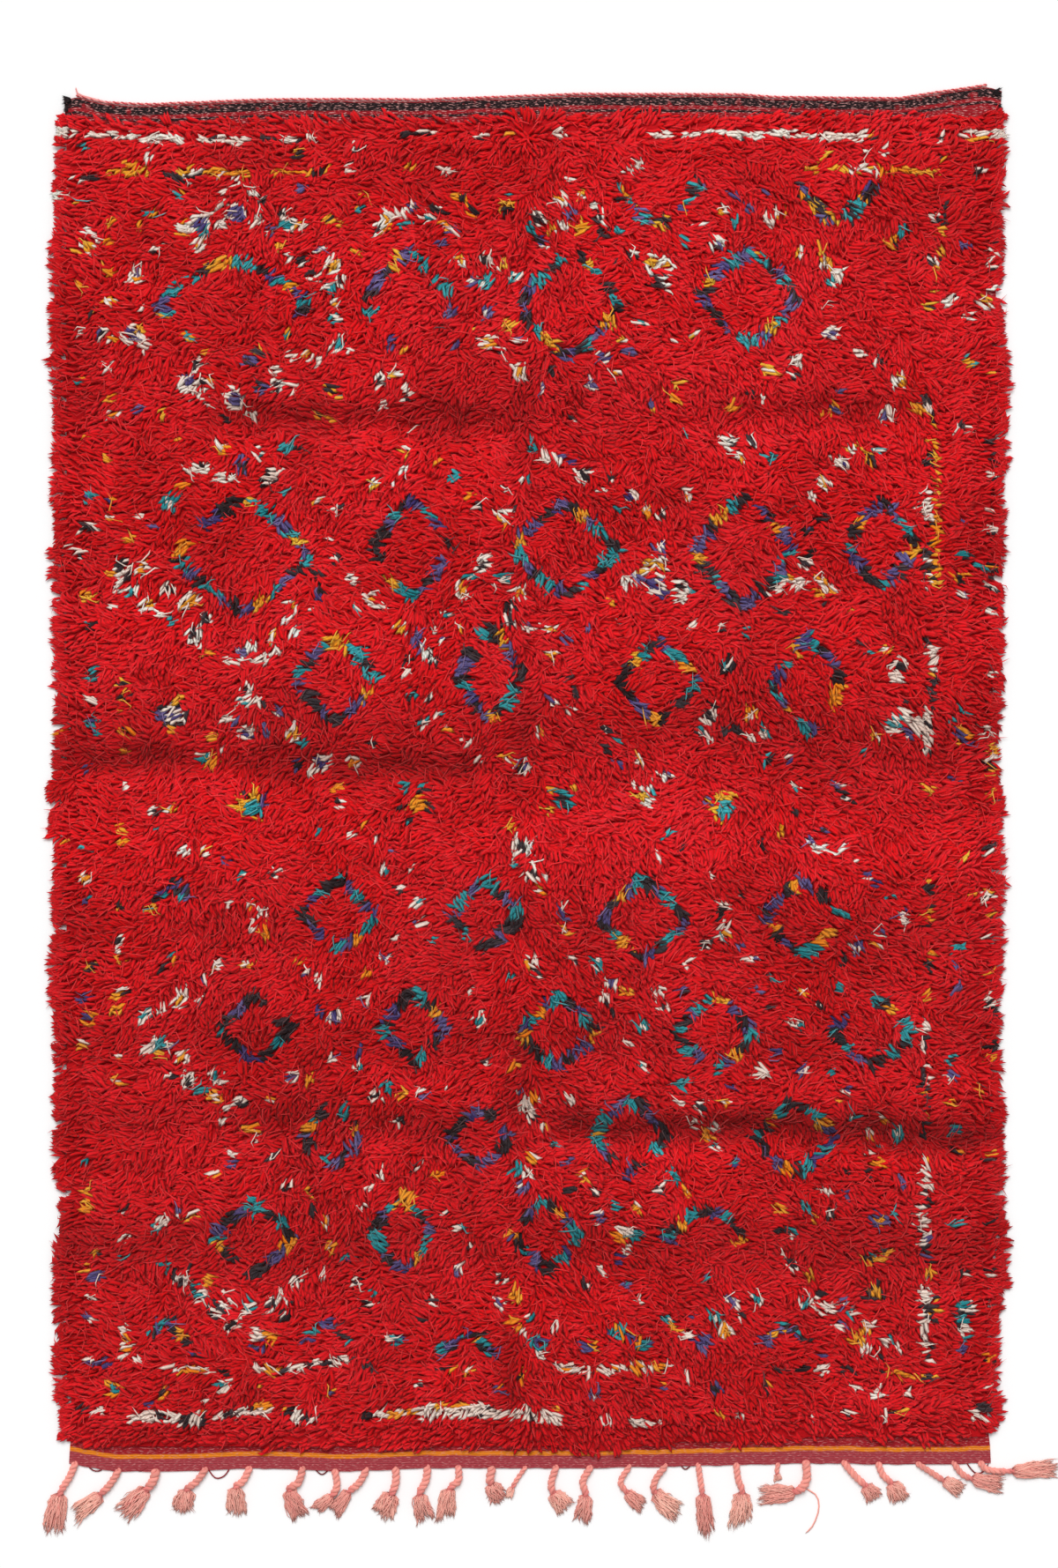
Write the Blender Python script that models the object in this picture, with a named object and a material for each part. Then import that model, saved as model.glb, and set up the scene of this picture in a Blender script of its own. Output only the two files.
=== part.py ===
"""A hand-knotted shag rug that lies flat: a woven ground, a deep pile and a fringe of warp ends.

Metres, +Z up. The origin is on the floor under the middle of the rug, +Y points to the head end,
which is flat-woven and cord-edged, and the warp fringe is at -Y.
"""

import math
import random

import bmesh
import bpy
import numpy as np
from mathutils import Vector, noise

# Driving dimensions
GAP = 0.0003
CLOTH_THICK = 0.003
PILE_CREST = 0.028
PILE_RIM_TOP = 0.016
PILE_RIM_BAND = 0.060
LUMP_BROAD = 0.0045
LUMP_BROAD_ACROSS = 0.16
LUMP_FINE = 0.0035
LUMP_FINE_ACROSS = 0.07
HEAD_CORD_RADIUS = 0.0035
HEAD_CORD_ROOM = 2 * HEAD_CORD_RADIUS + 2 * GAP
STRIP_INNER_Y = -1.4360
CORD_HIGH = 0.011
TUFT_HIGH = 0.015
TUFT_END_HIGH = 0.004

# The pile's grid, and how each of its rim faces is cut before every second one grows a lock
PILE_COLUMNS = 34
PILE_ROWS = 46
RIM_CUTS = 2
CLOTH_ROWS = 4

# Outline at the head, round the edge cord, and edge of the woven ground at the foot: x, y
HEAD_EDGE = (
    (-0.980, 1.440),
    (-0.955, 1.446),
    (-0.893, 1.431),
    (-0.809, 1.427),
    (-0.725, 1.430),
    (-0.558, 1.437),
    (-0.391, 1.438),
    (-0.223, 1.437),
    (-0.056, 1.443),
    (0.112, 1.449),
    (0.446, 1.448),
    (0.530, 1.442),
    (0.781, 1.440),
    (0.865, 1.453),
    (0.920, 1.461),
    (0.968, 1.468),
    (0.997, 1.459),
)
FOOT_EDGE = (
    (-0.970, -1.443),
    (-0.893, -1.461),
    (-0.725, -1.460),
    (-0.558, -1.453),
    (-0.391, -1.461),
    (-0.223, -1.453),
    (0.112, -1.454),
    (0.446, -1.447),
    (0.614, -1.443),
    (0.781, -1.446),
    (0.974, -1.443),
)
# Selvedges of the woven ground: y, left, right
SELVEDGES = (
    (-1.445, -0.970, 0.974),
    (-0.700, -0.972, 0.970),
    (0.000, -0.975, 0.968),
    (0.700, -0.976, 0.976),
    (1.440, -0.980, 0.997),
)
# Reach of the pile's mass at the sides: y, left, right
PILE_SIDES = (
    (-1.420, -0.990, 0.990),
    (-1.332, -0.995, 0.991),
    (-1.146, -0.995, 0.986),
    (-1.034, -0.999, 1.012),
    (-0.923, -0.986, 0.993),
    (-0.811, -0.999, 0.999),
    (-0.588, -0.997, 0.986),
    (-0.402, -1.008, 0.993),
    (-0.253, -0.997, 1.003),
    (-0.030, -1.009, 0.991),
    (0.082, -0.991, 0.980),
    (0.193, -0.991, 0.997),
    (0.417, -1.004, 0.997),
    (0.640, -0.999, 1.003),
    (0.863, -1.003, 1.006),
    (1.030, -1.006, 0.991),
    (1.198, -1.001, 1.001),
    (1.400, -0.997, 1.006),
)
# Reach of the pile's mass at the ends: x, foot, head
PILE_ENDS = (
    (-0.970, -1.416, 1.410),
    (-0.880, -1.425, 1.391),
    (-0.650, -1.429, 1.391),
    (-0.370, -1.428, 1.397),
    (-0.150, -1.421, 1.399),
    (0.000, -1.424, 1.401),
    (0.150, -1.436, 1.402),
    (0.300, -1.420, 1.404),
    (0.550, -1.409, 1.406),
    (0.750, -1.406, 1.405),
    (0.900, -1.408, 1.402),
    (0.980, -1.408, 1.416),
)
# Storage folds, soft troughs in the pile: the way it runs, place across it, start, end, depth
FOLDS = (
    ("lengthwise", 0.000, -1.45, 1.45, 0.0085),
    ("crosswise", 0.751, -1.05, 1.05, 0.0050),
    ("crosswise", 0.026, -1.05, 0.00, 0.0090),
    ("crosswise", 0.020, 0.00, 1.05, 0.0050),
    ("crosswise", -0.750, -1.05, 0.00, 0.0040),
    ("crosswise", -0.755, 0.00, 1.05, 0.0080),
)
FOLD_HALF_WIDTH = 0.050
# Where the grid's rows gather, so that one lies in each crosswise fold: row, y
ROW_STOPS = ((0, -1.420), (12, -0.755), (23, 0.026), (35, 0.751), (46, 1.400))

# Locks along the pile's rim: side, shortest, longest, set back of the roots from the reach
RIM_LOCKS = {
    "left": (0.016, 0.042, 0.020),
    "right": (0.016, 0.042, 0.020),
    "foot": (0.012, 0.024, 0.014),
    "head": (0.007, 0.018, 0.009),
}
LOCK_LEAN = 0.012
LOCK_TIP = 0.005
LOCK_TIP_LOW = 0.0042
LOCK_TIP_HIGH = 0.0085

# Warp ends in the fringe: root x, then knee, neck and tip as offsets from the root, then the widths
# of the twisted cord and of its tuft, all in millimetres
WARP_ENDS = (
    (-958, (-11, -26), (-32, -65), (-46, -147), 14, 27),
    (-867, (-17, -27), (-39, -49), (-94, -95), 14, 23),
    (-787, (-6, -20), (-21, -39), (-72, -92), 17, 28),
    (-684, (-19, -25), (-39, -42), (-47, -88), 14, 26),
    (-590, (-13, -26), (-29, -41), (-25, -94), 14, 25),
    (-478, (-9, -27), (-28, -44), (-6, -96), 15, 25),
    (-409, (4, -30), (-8, -52), (-41, -81), 14, 16),
    (-344, (-15, -26), (-37, -46), (-69, -91), 14, 19),
    (-281, (0, -26), (-9, -53), (-28, -100), 15, 28),
    (-214, (-4, -27), (-17, -58), (-4, -115), 15, 26),
    (-149, (0, -26), (-19, -46), (-28, -109), 14, 24),
    (-78, (-4, -18), (-2, -34), (15, -70), 16, 24),
    (-9, (-15, -21), (-26, -41), (-35, -66), 9, 9),
    (56, (-9, -29), (-4, -53), (28, -90), 14, 25),
    (128, (-15, -28), (-8, -59), (-17, -115), 14, 21),
    (210, (-17, -30), (-2, -54), (32, -87), 12, 19),
    (286, (-20, -28), (-20, -56), (26, -96), 13, 25),
    (357, (4, -28), (9, -63), (19, -145), 12, 22),
    (437, (4, -30), (13, -61), (6, -130), 13, 27),
    (525, (-2, -10), (-2, -21), (0, -36), 9, 9),
    (584, (0, -36), (-26, -60), (-106, -68), 17, 24),
    (666, (22, -26), (45, -48), (67, -78), 14, 22),
    (737, (9, -22), (28, -41), (50, -78), 13, 24),
    (822, (28, -18), (54, -35), (97, -60), 12, 19),
    (897, (15, -20), (39, -32), (102, -45), 12, 22),
    (953, (15, -13), (70, -16), (156, -10), 13, 22),
)
# Rings along a warp end: place on its route, width between cord 0 and tuft 1, height between
# cord 0, tuft 1 and end 2, taper of the width
WARP_RINGS = (
    (0.40, 0.0, 0.0, 1.0),
    (1.00, 0.0, 0.0, 1.0),
    (1.55, 0.0, 0.0, 1.0),
    (2.00, 0.2, 0.3, 1.0),
    (2.35, 1.0, 1.0, 1.0),
    (2.75, 1.0, 1.6, 0.82),
    (3.00, 1.0, 2.0, 0.40),
)

# Dark yarn tufts at the head corners: name, knot place, then each strand's reach
KNOT_SIZE = (0.012, 0.010, 0.005)
KNOT_STRAND = 0.004
CORNER_TUFTS = (
    ("corner_tuft_left", (-0.967, 1.4290), -1, ((-0.012, 0.010), (-0.016, 0.004), (-0.012, -0.003))),
    ("corner_tuft_right", (0.980, 1.4480), 1, ((0.010, 0.010), (0.014, 0.002), (0.012, -0.007))),
)

# Finishes: colour (sRGB), roughness
FINISHES = {
    "ground_cloth": ("9B1B24", 0.90),
    "pile": ("C5161F", 0.85),
    "warp_fringe": ("E58B82", 0.85),
    "head_cord": ("D0606A", 0.88),
    "corner_tuft": ("231A1C", 0.85),
}
SEED = 7


def clear_scene():
    """Removes whatever the scene holds."""
    for thing in list(bpy.context.scene.objects):
        bpy.data.objects.remove(thing, do_unlink=True)


def linear(hex_colour):
    """Linear red, green, blue and alpha of an sRGB hex colour."""
    values = [int(hex_colour[i : i + 2], 16) / 255 for i in (0, 2, 4)]
    return [v / 12.92 if v <= 0.04045 else ((v + 0.055) / 1.055) ** 2.4 for v in values] + [1.0]


def finish(name):
    """The finish of that name as a material."""
    colour, rough = FINISHES[name]
    material = bpy.data.materials.new(name)
    material.use_nodes = True
    shader = material.node_tree.nodes["Principled BSDF"]
    shader.inputs["Base Color"].default_value = linear(colour)
    shader.inputs["Roughness"].default_value = rough
    shader.inputs["Metallic"].default_value = 0.0
    return material


def column(table, at, which):
    """A table's value in a column, read between its rows by the first column."""
    rows = np.array([row[: which + 1] for row in table], float)
    return float(np.interp(at, rows[:, 0], rows[:, which]))


def smooth_step(t):
    """Eases 0 to 1."""
    t = min(max(t, 0.0), 1.0)
    return t * t * (3 - 2 * t)


def add_part(bm, name, finish_name, collection, sharp_deg=50):
    """Turns a bmesh into a named object with its finish, in the rug's collection."""
    bmesh.ops.recalc_face_normals(bm, faces=bm.faces)
    mesh = bpy.data.meshes.new(name)
    bm.to_mesh(mesh)
    bm.free()
    mesh.shade_smooth()
    mesh.set_sharp_from_angle(angle=math.radians(sharp_deg))
    mesh.materials.append(finish(finish_name))
    part = bpy.data.objects.new(name, mesh)
    collection.objects.link(part)
    return part


def grow(bm, face, across, rings):
    """Extrudes a four-sided face from ring to ring.

    across points from one side of the face to the other. A ring is a centre (x, y), the way across
    it, its width, and its lowest and highest z.
    """
    middle = face.calc_center_median()
    corners = [
        (1 if (v.co - middle).dot(across) > 0 else -1, v.co.z > middle.z) for v in face.verts
    ]
    for centre, ring_across, width, low, high in rings:
        face = bmesh.ops.extrude_discrete_faces(bm, faces=[face])["faces"][0]
        for vert, (side, is_high) in zip(face.verts, corners):
            spot = centre + ring_across * (side * width / 2)
            vert.co = (spot.x, spot.y, high if is_high else low)


def slab_grid(columns, rows):
    """A closed slab of columns by rows over the unit square, with z 0 below and 1 above."""
    bm = bmesh.new()
    bmesh.ops.create_grid(bm, x_segments=columns, y_segments=rows, size=0.5)
    raised = bmesh.ops.extrude_face_region(bm, geom=bm.faces[:], use_keep_orig=True)["geom"]
    for item in raised:
        if isinstance(item, bmesh.types.BMVert):
            item.co.z = 1.0
    return bm


def ground_cloth(collection):
    """The woven sheet, flat below, whose two flat-woven ends show past the pile."""
    columns = len(HEAD_EDGE) - 1
    first, last = HEAD_EDGE[0][0], HEAD_EDGE[-1][0]
    bm = slab_grid(columns, CLOTH_ROWS)
    for vert in bm.verts:
        row = HEAD_EDGE[round((vert.co.x + 0.5) * columns)]
        v = vert.co.y + 0.5
        rough_y = STRIP_INNER_Y + v * (HEAD_EDGE[0][1] - STRIP_INNER_Y)
        left, right = column(SELVEDGES, rough_y, 1), column(SELVEDGES, rough_y, 2)
        x = left + (row[0] - first) / (last - first) * (right - left)
        y = STRIP_INNER_Y + v * (row[1] - HEAD_CORD_ROOM - STRIP_INNER_Y)
        vert.co = (x, y, CLOTH_THICK if vert.co.z > 0.5 else 0.0)
    return add_part(bm, "ground_cloth", "ground_cloth", collection)


def fold_depth(x, y):
    """How deep the storage folds press the pile at a place."""
    deepest = 0.0
    for way, place, start, end, depth in FOLDS:
        along, across = (y, x) if way == "lengthwise" else (x, y)
        if start <= along <= end:
            press = 1 - abs(across - place) / FOLD_HALF_WIDTH
            deepest = max(deepest, depth * smooth_step(press))
    return deepest


def pile_top(x, y, inside):
    """Height of the pile's surface at a place this far inside its rim."""
    broad = noise.noise(Vector((x, y, 0.0)) / LUMP_BROAD_ACROSS) * LUMP_BROAD
    fine = noise.noise(Vector((x, y, 3.0)) / LUMP_FINE_ACROSS) * LUMP_FINE
    crest = PILE_CREST + broad + fine - fold_depth(x, y)
    return PILE_RIM_TOP + (crest - PILE_RIM_TOP) * smooth_step(inside / PILE_RIM_BAND)


def pile_place(u, v):
    """Where a spot of the pile's unit grid lies: x, y and how far inside the rim it is."""
    nominal_y = float(np.interp((v + 0.5) * PILE_ROWS, *zip(*ROW_STOPS)))
    set_back = {side: row[2] for side, row in RIM_LOCKS.items()}
    left = column(PILE_SIDES, nominal_y, 1) + set_back["left"]
    right = column(PILE_SIDES, nominal_y, 2) - set_back["right"]
    x = left + (u + 0.5) * (right - left)
    foot = column(PILE_ENDS, x, 1) + set_back["foot"]
    head = column(PILE_ENDS, x, 2) - set_back["head"]
    lowest, highest = ROW_STOPS[0][1], ROW_STOPS[-1][1]
    y = nominal_y
    y += (foot - lowest) * smooth_step(-2 * v) + (head - highest) * smooth_step(2 * v)
    return x, y, min(x - left, right - x, y - foot, head - y)


def rim_side(face):
    """The side of the unit square that a face stands on, or None for the top and bottom."""
    for axis, low, high in ((0, "left", "right"), (1, "foot", "head")):
        values = [v.co[axis] for v in face.verts]
        if max(values) - min(values) < 1e-6 and max(map(abs, values)) > 0.5 - 1e-6:
            return low if values[0] < 0 else high
    return None


def round_the_rim(face):
    """The angle of a rim face seen from the middle of the unit square, which sorts the rim."""
    middle = face.calc_center_median()
    return math.atan2(middle.y, middle.x)


def thin_underside(bm):
    """Takes every second grid line out of the flat underside, where nothing shows."""
    step_u, step_v = 2 / PILE_COLUMNS, 2 / PILE_ROWS
    spare = []
    for edge in bm.edges:
        a, b = (v.co for v in edge.verts)
        inside = all(abs(c) < 0.5 - 1e-6 for c in ((a.x + b.x) / 2, (a.y + b.y) / 2))
        if a.z > 0.5 or b.z > 0.5 or not inside:
            continue
        axis, step = (0, step_u) if abs(a.x - b.x) < 1e-6 else (1, step_v)
        line = (a[axis] + 0.5) / step
        if abs(a[axis] - b[axis]) < 1e-6 and abs(line - round(line)) > 0.25:
            spare.append(edge)
    bmesh.ops.dissolve_edges(bm, edges=spare, use_verts=True)


def pile(collection):
    """The shag as one lumpy slab a hair above the ground, with locks all round its rim."""
    bm = slab_grid(PILE_COLUMNS, PILE_ROWS)
    thin_underside(bm)
    rim_edges = [
        edge
        for edge in bm.edges
        if abs(edge.verts[0].co.z - edge.verts[1].co.z) < 0.5 and any(map(rim_side, edge.link_faces))
    ]
    bmesh.ops.subdivide_edges(bm, edges=rim_edges, cuts=RIM_CUTS)
    rim = sorted((face for face in bm.faces if rim_side(face)), key=round_the_rim)
    sides = [rim_side(face) for face in rim]
    for vert in bm.verts:
        top = vert.co.z > 0.5
        x, y, inside = pile_place(vert.co.x, vert.co.y)
        vert.co = (x, y, pile_top(x, y, inside) if top else CLOTH_THICK + GAP)

    draw = random.Random(SEED)
    outward = {"left": (-1, 0), "right": (1, 0), "foot": (0, -1), "head": (0, 1)}
    for face, side in list(zip(rim, sides))[::2]:
        shortest, longest, _ = RIM_LOCKS[side]
        reach = draw.uniform(shortest, longest)
        lean = draw.uniform(-LOCK_LEAN, LOCK_LEAN)
        out = Vector((*outward[side], 0.0))
        across = Vector((-out.y, out.x, 0.0))
        middle = face.calc_center_median()
        width = max(abs((a.co - b.co).dot(across)) for a in face.verts for b in face.verts)
        low, high = CLOTH_THICK + GAP, max(v.co.z for v in face.verts)
        waist = middle + out * (reach * 0.5) + across * (lean * 0.3)
        tip = middle + out * reach + across * lean
        rings = (
            (waist, across, width * 0.62, low + 0.0007, low + (high - low) * 0.72),
            (tip, across, LOCK_TIP, LOCK_TIP_LOW, LOCK_TIP_HIGH),
        )
        grow(bm, face, across, rings)
    return add_part(bm, "pile", "pile", collection)


def route_point(points, t):
    """A point and its heading on a smooth curve through points, at t counted in points."""
    i = min(int(t), len(points) - 2)
    p0, p1 = points[max(i - 1, 0)], points[i]
    p2, p3 = points[i + 1], points[min(i + 2, len(points) - 1)]
    f = t - i
    m1, m2 = (p2 - p0) / 2, (p3 - p1) / 2
    spot = (
        p1 * (2 * f**3 - 3 * f**2 + 1)
        + m1 * (f**3 - 2 * f**2 + f)
        + p2 * (3 * f**2 - 2 * f**3)
        + m2 * (f**3 - f**2)
    )
    heading = (
        p1 * (6 * f**2 - 6 * f)
        + m1 * (3 * f**2 - 4 * f + 1)
        + p2 * (6 * f - 6 * f**2)
        + m2 * (3 * f**2 - 2 * f)
    )
    return spot, heading.normalized()


def warp_end_rings(root, offsets, cord_width, tuft_width):
    """Rings of one warp end, level on the floor, from its root to the end of its tuft."""
    points = [Vector((*root, 0.0))]
    points += [points[0] + Vector((*offset, 0.0)) * 0.001 for offset in offsets]
    rings = []
    for t, tuft_part, stage, taper in WARP_RINGS:
        spot, heading = route_point(points, t)
        across = Vector((-heading.y, heading.x, 0.0))
        width = (cord_width + (tuft_width - cord_width) * tuft_part) * taper * 0.001
        high = float(np.interp(stage, (0, 1, 2), (CORD_HIGH, TUFT_HIGH, TUFT_END_HIGH)))
        rings.append((spot, across, width, 0.0, min(high, max(width, TUFT_END_HIGH))))
    return rings


def warp_fringe(collection):
    """The narrow edge strip with the twisted warp ends that grow out of it and lie on the floor."""
    left, right = column(SELVEDGES, STRIP_INNER_Y, 1), column(SELVEDGES, STRIP_INNER_Y, 2)
    bm = bmesh.new()
    bmesh.ops.create_cube(bm, size=1.0)
    for vert in bm.verts:
        vert.co.x = left if vert.co.x < 0 else right
    for root_x, _, _, _, cord_width, _ in WARP_ENDS:
        for side in (-1, 1):
            everything = bm.verts[:] + bm.edges[:] + bm.faces[:]
            cut_x = (root_x + side * cord_width / 2) * 0.001
            bmesh.ops.bisect_plane(
                bm, geom=everything, dist=1e-6, plane_co=(cut_x, 0, 0), plane_no=(1, 0, 0)
            )
    for vert in bm.verts:
        vert.co.y = STRIP_INNER_Y - GAP if vert.co.y > 0 else column(FOOT_EDGE, vert.co.x, 1)
        vert.co.z = CLOTH_THICK if vert.co.z > 0 else 0.0
    bm.normal_update()
    front = {face.calc_center_median().x: face for face in bm.faces if face.normal.y < -0.7}
    roots = [front[min(front, key=lambda x: abs(x - row[0] * 0.001))] for row in WARP_ENDS]
    for face, (_, knee, neck, tip, cord_width, tuft_width) in zip(roots, WARP_ENDS):
        root = face.calc_center_median().xy
        rings = warp_end_rings(root, (knee, neck, tip), cord_width, tuft_width)
        grow(bm, face, Vector((1, 0, 0)), rings)
    return add_part(bm, "warp_fringe", "warp_fringe", collection)


def head_cord(collection):
    """The twined cord that lies along the head edge, as a round tube with closed ends."""
    curve = bpy.data.curves.new("head_cord_route", "CURVE")
    curve.dimensions = "3D"
    curve.bevel_depth = HEAD_CORD_RADIUS
    curve.bevel_resolution = 1
    curve.use_fill_caps = True
    spline = curve.splines.new("POLY")
    spline.points.add(len(HEAD_EDGE) - 3)
    for point, (x, y) in zip(spline.points, HEAD_EDGE[1:-1]):
        point.co = (x, y - HEAD_CORD_RADIUS, HEAD_CORD_RADIUS, 1.0)
    route = bpy.data.objects.new("head_cord_route", curve)
    bpy.context.scene.collection.objects.link(route)
    seen = route.evaluated_get(bpy.context.evaluated_depsgraph_get())
    bm = bmesh.new()
    bm.from_mesh(bpy.data.meshes.new_from_object(seen))
    bpy.data.objects.remove(route, do_unlink=True)
    bmesh.ops.remove_doubles(bm, verts=bm.verts, dist=1e-5)
    return add_part(bm, "head_cord", "head_cord", collection)


def corner_tuft(name, place, side, strands, collection):
    """A flat knot on a head corner with loose yarn ends that point out past the cloth."""
    bm = bmesh.new()
    bmesh.ops.create_cube(bm, size=1.0)
    floor = CLOTH_THICK + GAP
    bmesh.ops.scale(bm, vec=KNOT_SIZE, verts=bm.verts)
    middle = (place[0], place[1], floor + KNOT_SIZE[2] / 2)
    bmesh.ops.translate(bm, vec=middle, verts=bm.verts)
    for i in range(1, len(strands)):
        cut_y = place[1] + KNOT_SIZE[1] * (0.5 - i / len(strands))
        everything = bm.verts[:] + bm.edges[:] + bm.faces[:]
        bmesh.ops.bisect_plane(
            bm, geom=everything, dist=1e-6, plane_co=(0, cut_y, 0), plane_no=(0, 1, 0)
        )
    bm.normal_update()
    faces = [face for face in bm.faces if face.normal.x * side > 0.7]
    faces.sort(key=lambda f: -f.calc_center_median().y)
    for face, (reach_x, reach_y) in zip(faces, strands):
        root = face.calc_center_median()
        way = Vector((reach_x, reach_y, 0.0))
        across = Vector((0.0, 1.0, 0.0))
        waist = (root + way * 0.5, across, KNOT_STRAND * 0.8, floor + 0.001, floor + 0.005)
        tip = (root + way, across, KNOT_STRAND * 0.3, floor + 0.001, floor + 0.003)
        grow(bm, face, across, (waist, tip))
    return add_part(bm, name, "corner_tuft", collection)


def build():
    """Builds every piece of the rug into its own collection."""
    clear_scene()
    rug = bpy.data.collections.new("moroccan_rug")
    bpy.context.scene.collection.children.link(rug)
    ground_cloth(rug)
    pile(rug)
    warp_fringe(rug)
    head_cord(rug)
    for name, place, side, strands in CORNER_TUFTS:
        corner_tuft(name, place, side, strands, rug)


build()
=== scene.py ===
"""The looks of a hand-knotted shag rug, seen from straight above.

A deep red wool pile carries rows of small lozenges outlined in teal, orange, violet and charcoal, a
broken ivory lattice between them and dashed borders round them. The head end is flat-woven with an
edge cord, and a fringe of twisted warp ends lies on the floor at the foot.

Metres, +Z up. The origin is on the floor under the middle of the rug, and +Y points to the head end.
"""

import logging
import math
from dataclasses import dataclass
from enum import Enum
from typing import Callable, NamedTuple, Sequence

import bmesh
import bpy
import numpy as np
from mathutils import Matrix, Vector
from mathutils.bvhtree import BVHTree


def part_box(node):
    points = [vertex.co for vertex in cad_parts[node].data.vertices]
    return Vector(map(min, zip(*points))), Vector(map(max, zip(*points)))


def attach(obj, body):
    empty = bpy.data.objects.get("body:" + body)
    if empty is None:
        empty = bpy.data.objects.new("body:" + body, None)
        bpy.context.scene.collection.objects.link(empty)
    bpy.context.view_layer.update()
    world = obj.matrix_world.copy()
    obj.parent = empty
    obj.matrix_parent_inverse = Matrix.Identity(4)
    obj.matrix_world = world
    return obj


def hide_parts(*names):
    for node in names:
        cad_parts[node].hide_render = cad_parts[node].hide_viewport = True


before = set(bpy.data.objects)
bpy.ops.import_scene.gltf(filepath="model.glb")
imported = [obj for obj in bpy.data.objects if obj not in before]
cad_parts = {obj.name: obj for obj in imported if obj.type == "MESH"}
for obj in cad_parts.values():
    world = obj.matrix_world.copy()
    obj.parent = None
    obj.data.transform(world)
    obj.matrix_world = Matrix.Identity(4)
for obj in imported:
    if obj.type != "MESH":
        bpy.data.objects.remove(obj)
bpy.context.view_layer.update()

LOG = logging.getLogger("rug")
BODY = "root"
SEED = 11

# Photograph: its scale, its middle in pixels and the pixel that the rug's origin falls on
METRES_PER_PIXEL = 0.00186
PHOTO_SIZE = (1200, 1779)
ORIGIN_PIXEL = (600.0, 884.0)

# A chart's unit: the room that one knot takes, so a chart is read in whole centimetres
KNOT = 0.01

# Other tables' units, in metres
MILLIMETRE = 0.001
CENTIMETRE = 0.01

# The foot edge of the cloth lies between these two places along the rug
FOOT_EDGE = (-1.47, -1.437)

# A clump's middle keeps this share of its lattice cell free at each side
CLUMP_MARGIN = 0.15


def linear(hex_colour: str) -> np.ndarray:
    """Turns an sRGB hex colour into linear red, green and blue.

    Args:
        hex_colour: Six hex digits.

    Returns:
        The three linear values.
    """
    values = np.array([int(hex_colour[i : i + 2], 16) / 255 for i in (0, 2, 4)])
    return np.where(values <= 0.04045, values / 12.92, ((values + 0.055) / 1.055) ** 2.4)


def smooth_step(t: np.ndarray) -> np.ndarray:
    """Eases values from 0 to 1 and holds them there outside that range."""
    t = np.clip(t, 0.0, 1.0)
    return t * t * (3 - 2 * t)


def cell_draw(column: np.ndarray, row: np.ndarray, salt: int) -> np.ndarray:
    """Gives each cell of an endless lattice its own fixed draw.

    Args:
        column: Whole column numbers.
        row: Whole row numbers.
        salt: Sets one use of the lattice apart from another.

    Returns:
        Even draws from 0 to 1.
    """
    a = np.asarray(column).astype(np.int64).astype(np.uint64)
    b = np.asarray(row).astype(np.int64).astype(np.uint64)
    mixed = a * np.uint64(0x9E3779B97F4A7C15) + b * np.uint64(0xC2B2AE3D27D4EB4F)
    mixed = mixed + np.uint64(salt + 1) * np.uint64(0x165667B19E3779F9)
    for shift, factor in ((30, 0xBF58476D1CE4E5B9), (27, 0x94D049BB133111EB)):
        mixed = (mixed ^ (mixed >> np.uint64(shift))) * np.uint64(factor)
    return (mixed >> np.uint64(11)).astype(float) / 2.0**53


def drift(x: np.ndarray, y: np.ndarray, across: float, salt: int) -> np.ndarray:
    """A smooth random field over the rug.

    Args:
        x: Places across the rug.
        y: Places along it.
        across: The size of one swell of the field.
        salt: Sets one field apart from another.

    Returns:
        Values from -1 to 1.
    """
    u, v = x / across, y / across
    i, j = np.floor(u), np.floor(v)
    fu, fv = smooth_step(u - i), smooth_step(v - j)
    low = cell_draw(i, j, salt) * (1 - fu) + cell_draw(i + 1, j, salt) * fu
    high = cell_draw(i, j + 1, salt) * (1 - fu) + cell_draw(i + 1, j + 1, salt) * fu
    return 2 * (low * (1 - fv) + high * fv) - 1


class Nearest(NamedTuple):
    """The nearest clump of each place: the way to its middle, and its lattice cell."""

    dx: np.ndarray
    dy: np.ndarray
    column: np.ndarray
    row: np.ndarray


def nearest_clump(x: np.ndarray, y: np.ndarray, across: float) -> Nearest:
    """Finds each place's clump in a jittered lattice of clumps.

    Args:
        x: Places across the rug.
        y: Places along it.
        across: The lattice's pitch.

    Returns:
        The nearest clump of each place.
    """
    u, v = x / across, y / across
    best = np.full(np.shape(x), np.inf)
    found = [np.zeros(np.shape(x)) for _ in range(4)]
    for step_i in (-1, 0, 1):
        for step_j in (-1, 0, 1):
            i, j = np.floor(u) + step_i, np.floor(v) + step_j
            du = i + CLUMP_MARGIN + (1 - 2 * CLUMP_MARGIN) * cell_draw(i, j, 901) - u
            dv = j + CLUMP_MARGIN + (1 - 2 * CLUMP_MARGIN) * cell_draw(i, j, 902) - v
            gap = du * du + dv * dv
            nearer = gap < best
            best = np.where(nearer, gap, best)
            values = (du * across, dv * across, i, j)
            found = [np.where(nearer, new, old) for new, old in zip(values, found)]
    return Nearest(*found)


class Yarn(Enum):
    """The dyed wools of the pile, named by their letters in the chart."""

    RED = "R"
    IVORY = "I"
    ORANGE = "O"
    TEAL = "T"
    VIOLET = "V"
    CHARCOAL = "C"


# Dyed wool in full light: two tones that a yarn wanders between
DYES = {
    Yarn.RED: ("D0070E", "EE1C26"),
    Yarn.IVORY: ("F0D0C0", "FFE4D4"),
    Yarn.ORANGE: ("FF7E10", "FFAE38"),
    Yarn.TEAL: ("137A82", "3AA2A8"),
    Yarn.VIOLET: ("3A2F68", "716896"),
    Yarn.CHARCOAL: ("1D181B", "423B40"),
}
YARNS = list(Yarn)

# Mixes of yarn letters: a letter that stands more often is knotted more often
JEWEL = "TVOCTVC"


class OpenSide(Enum):
    """The side of a lozenge that its weaver left open."""

    NONE = 0
    BOTTOM = -1


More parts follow.
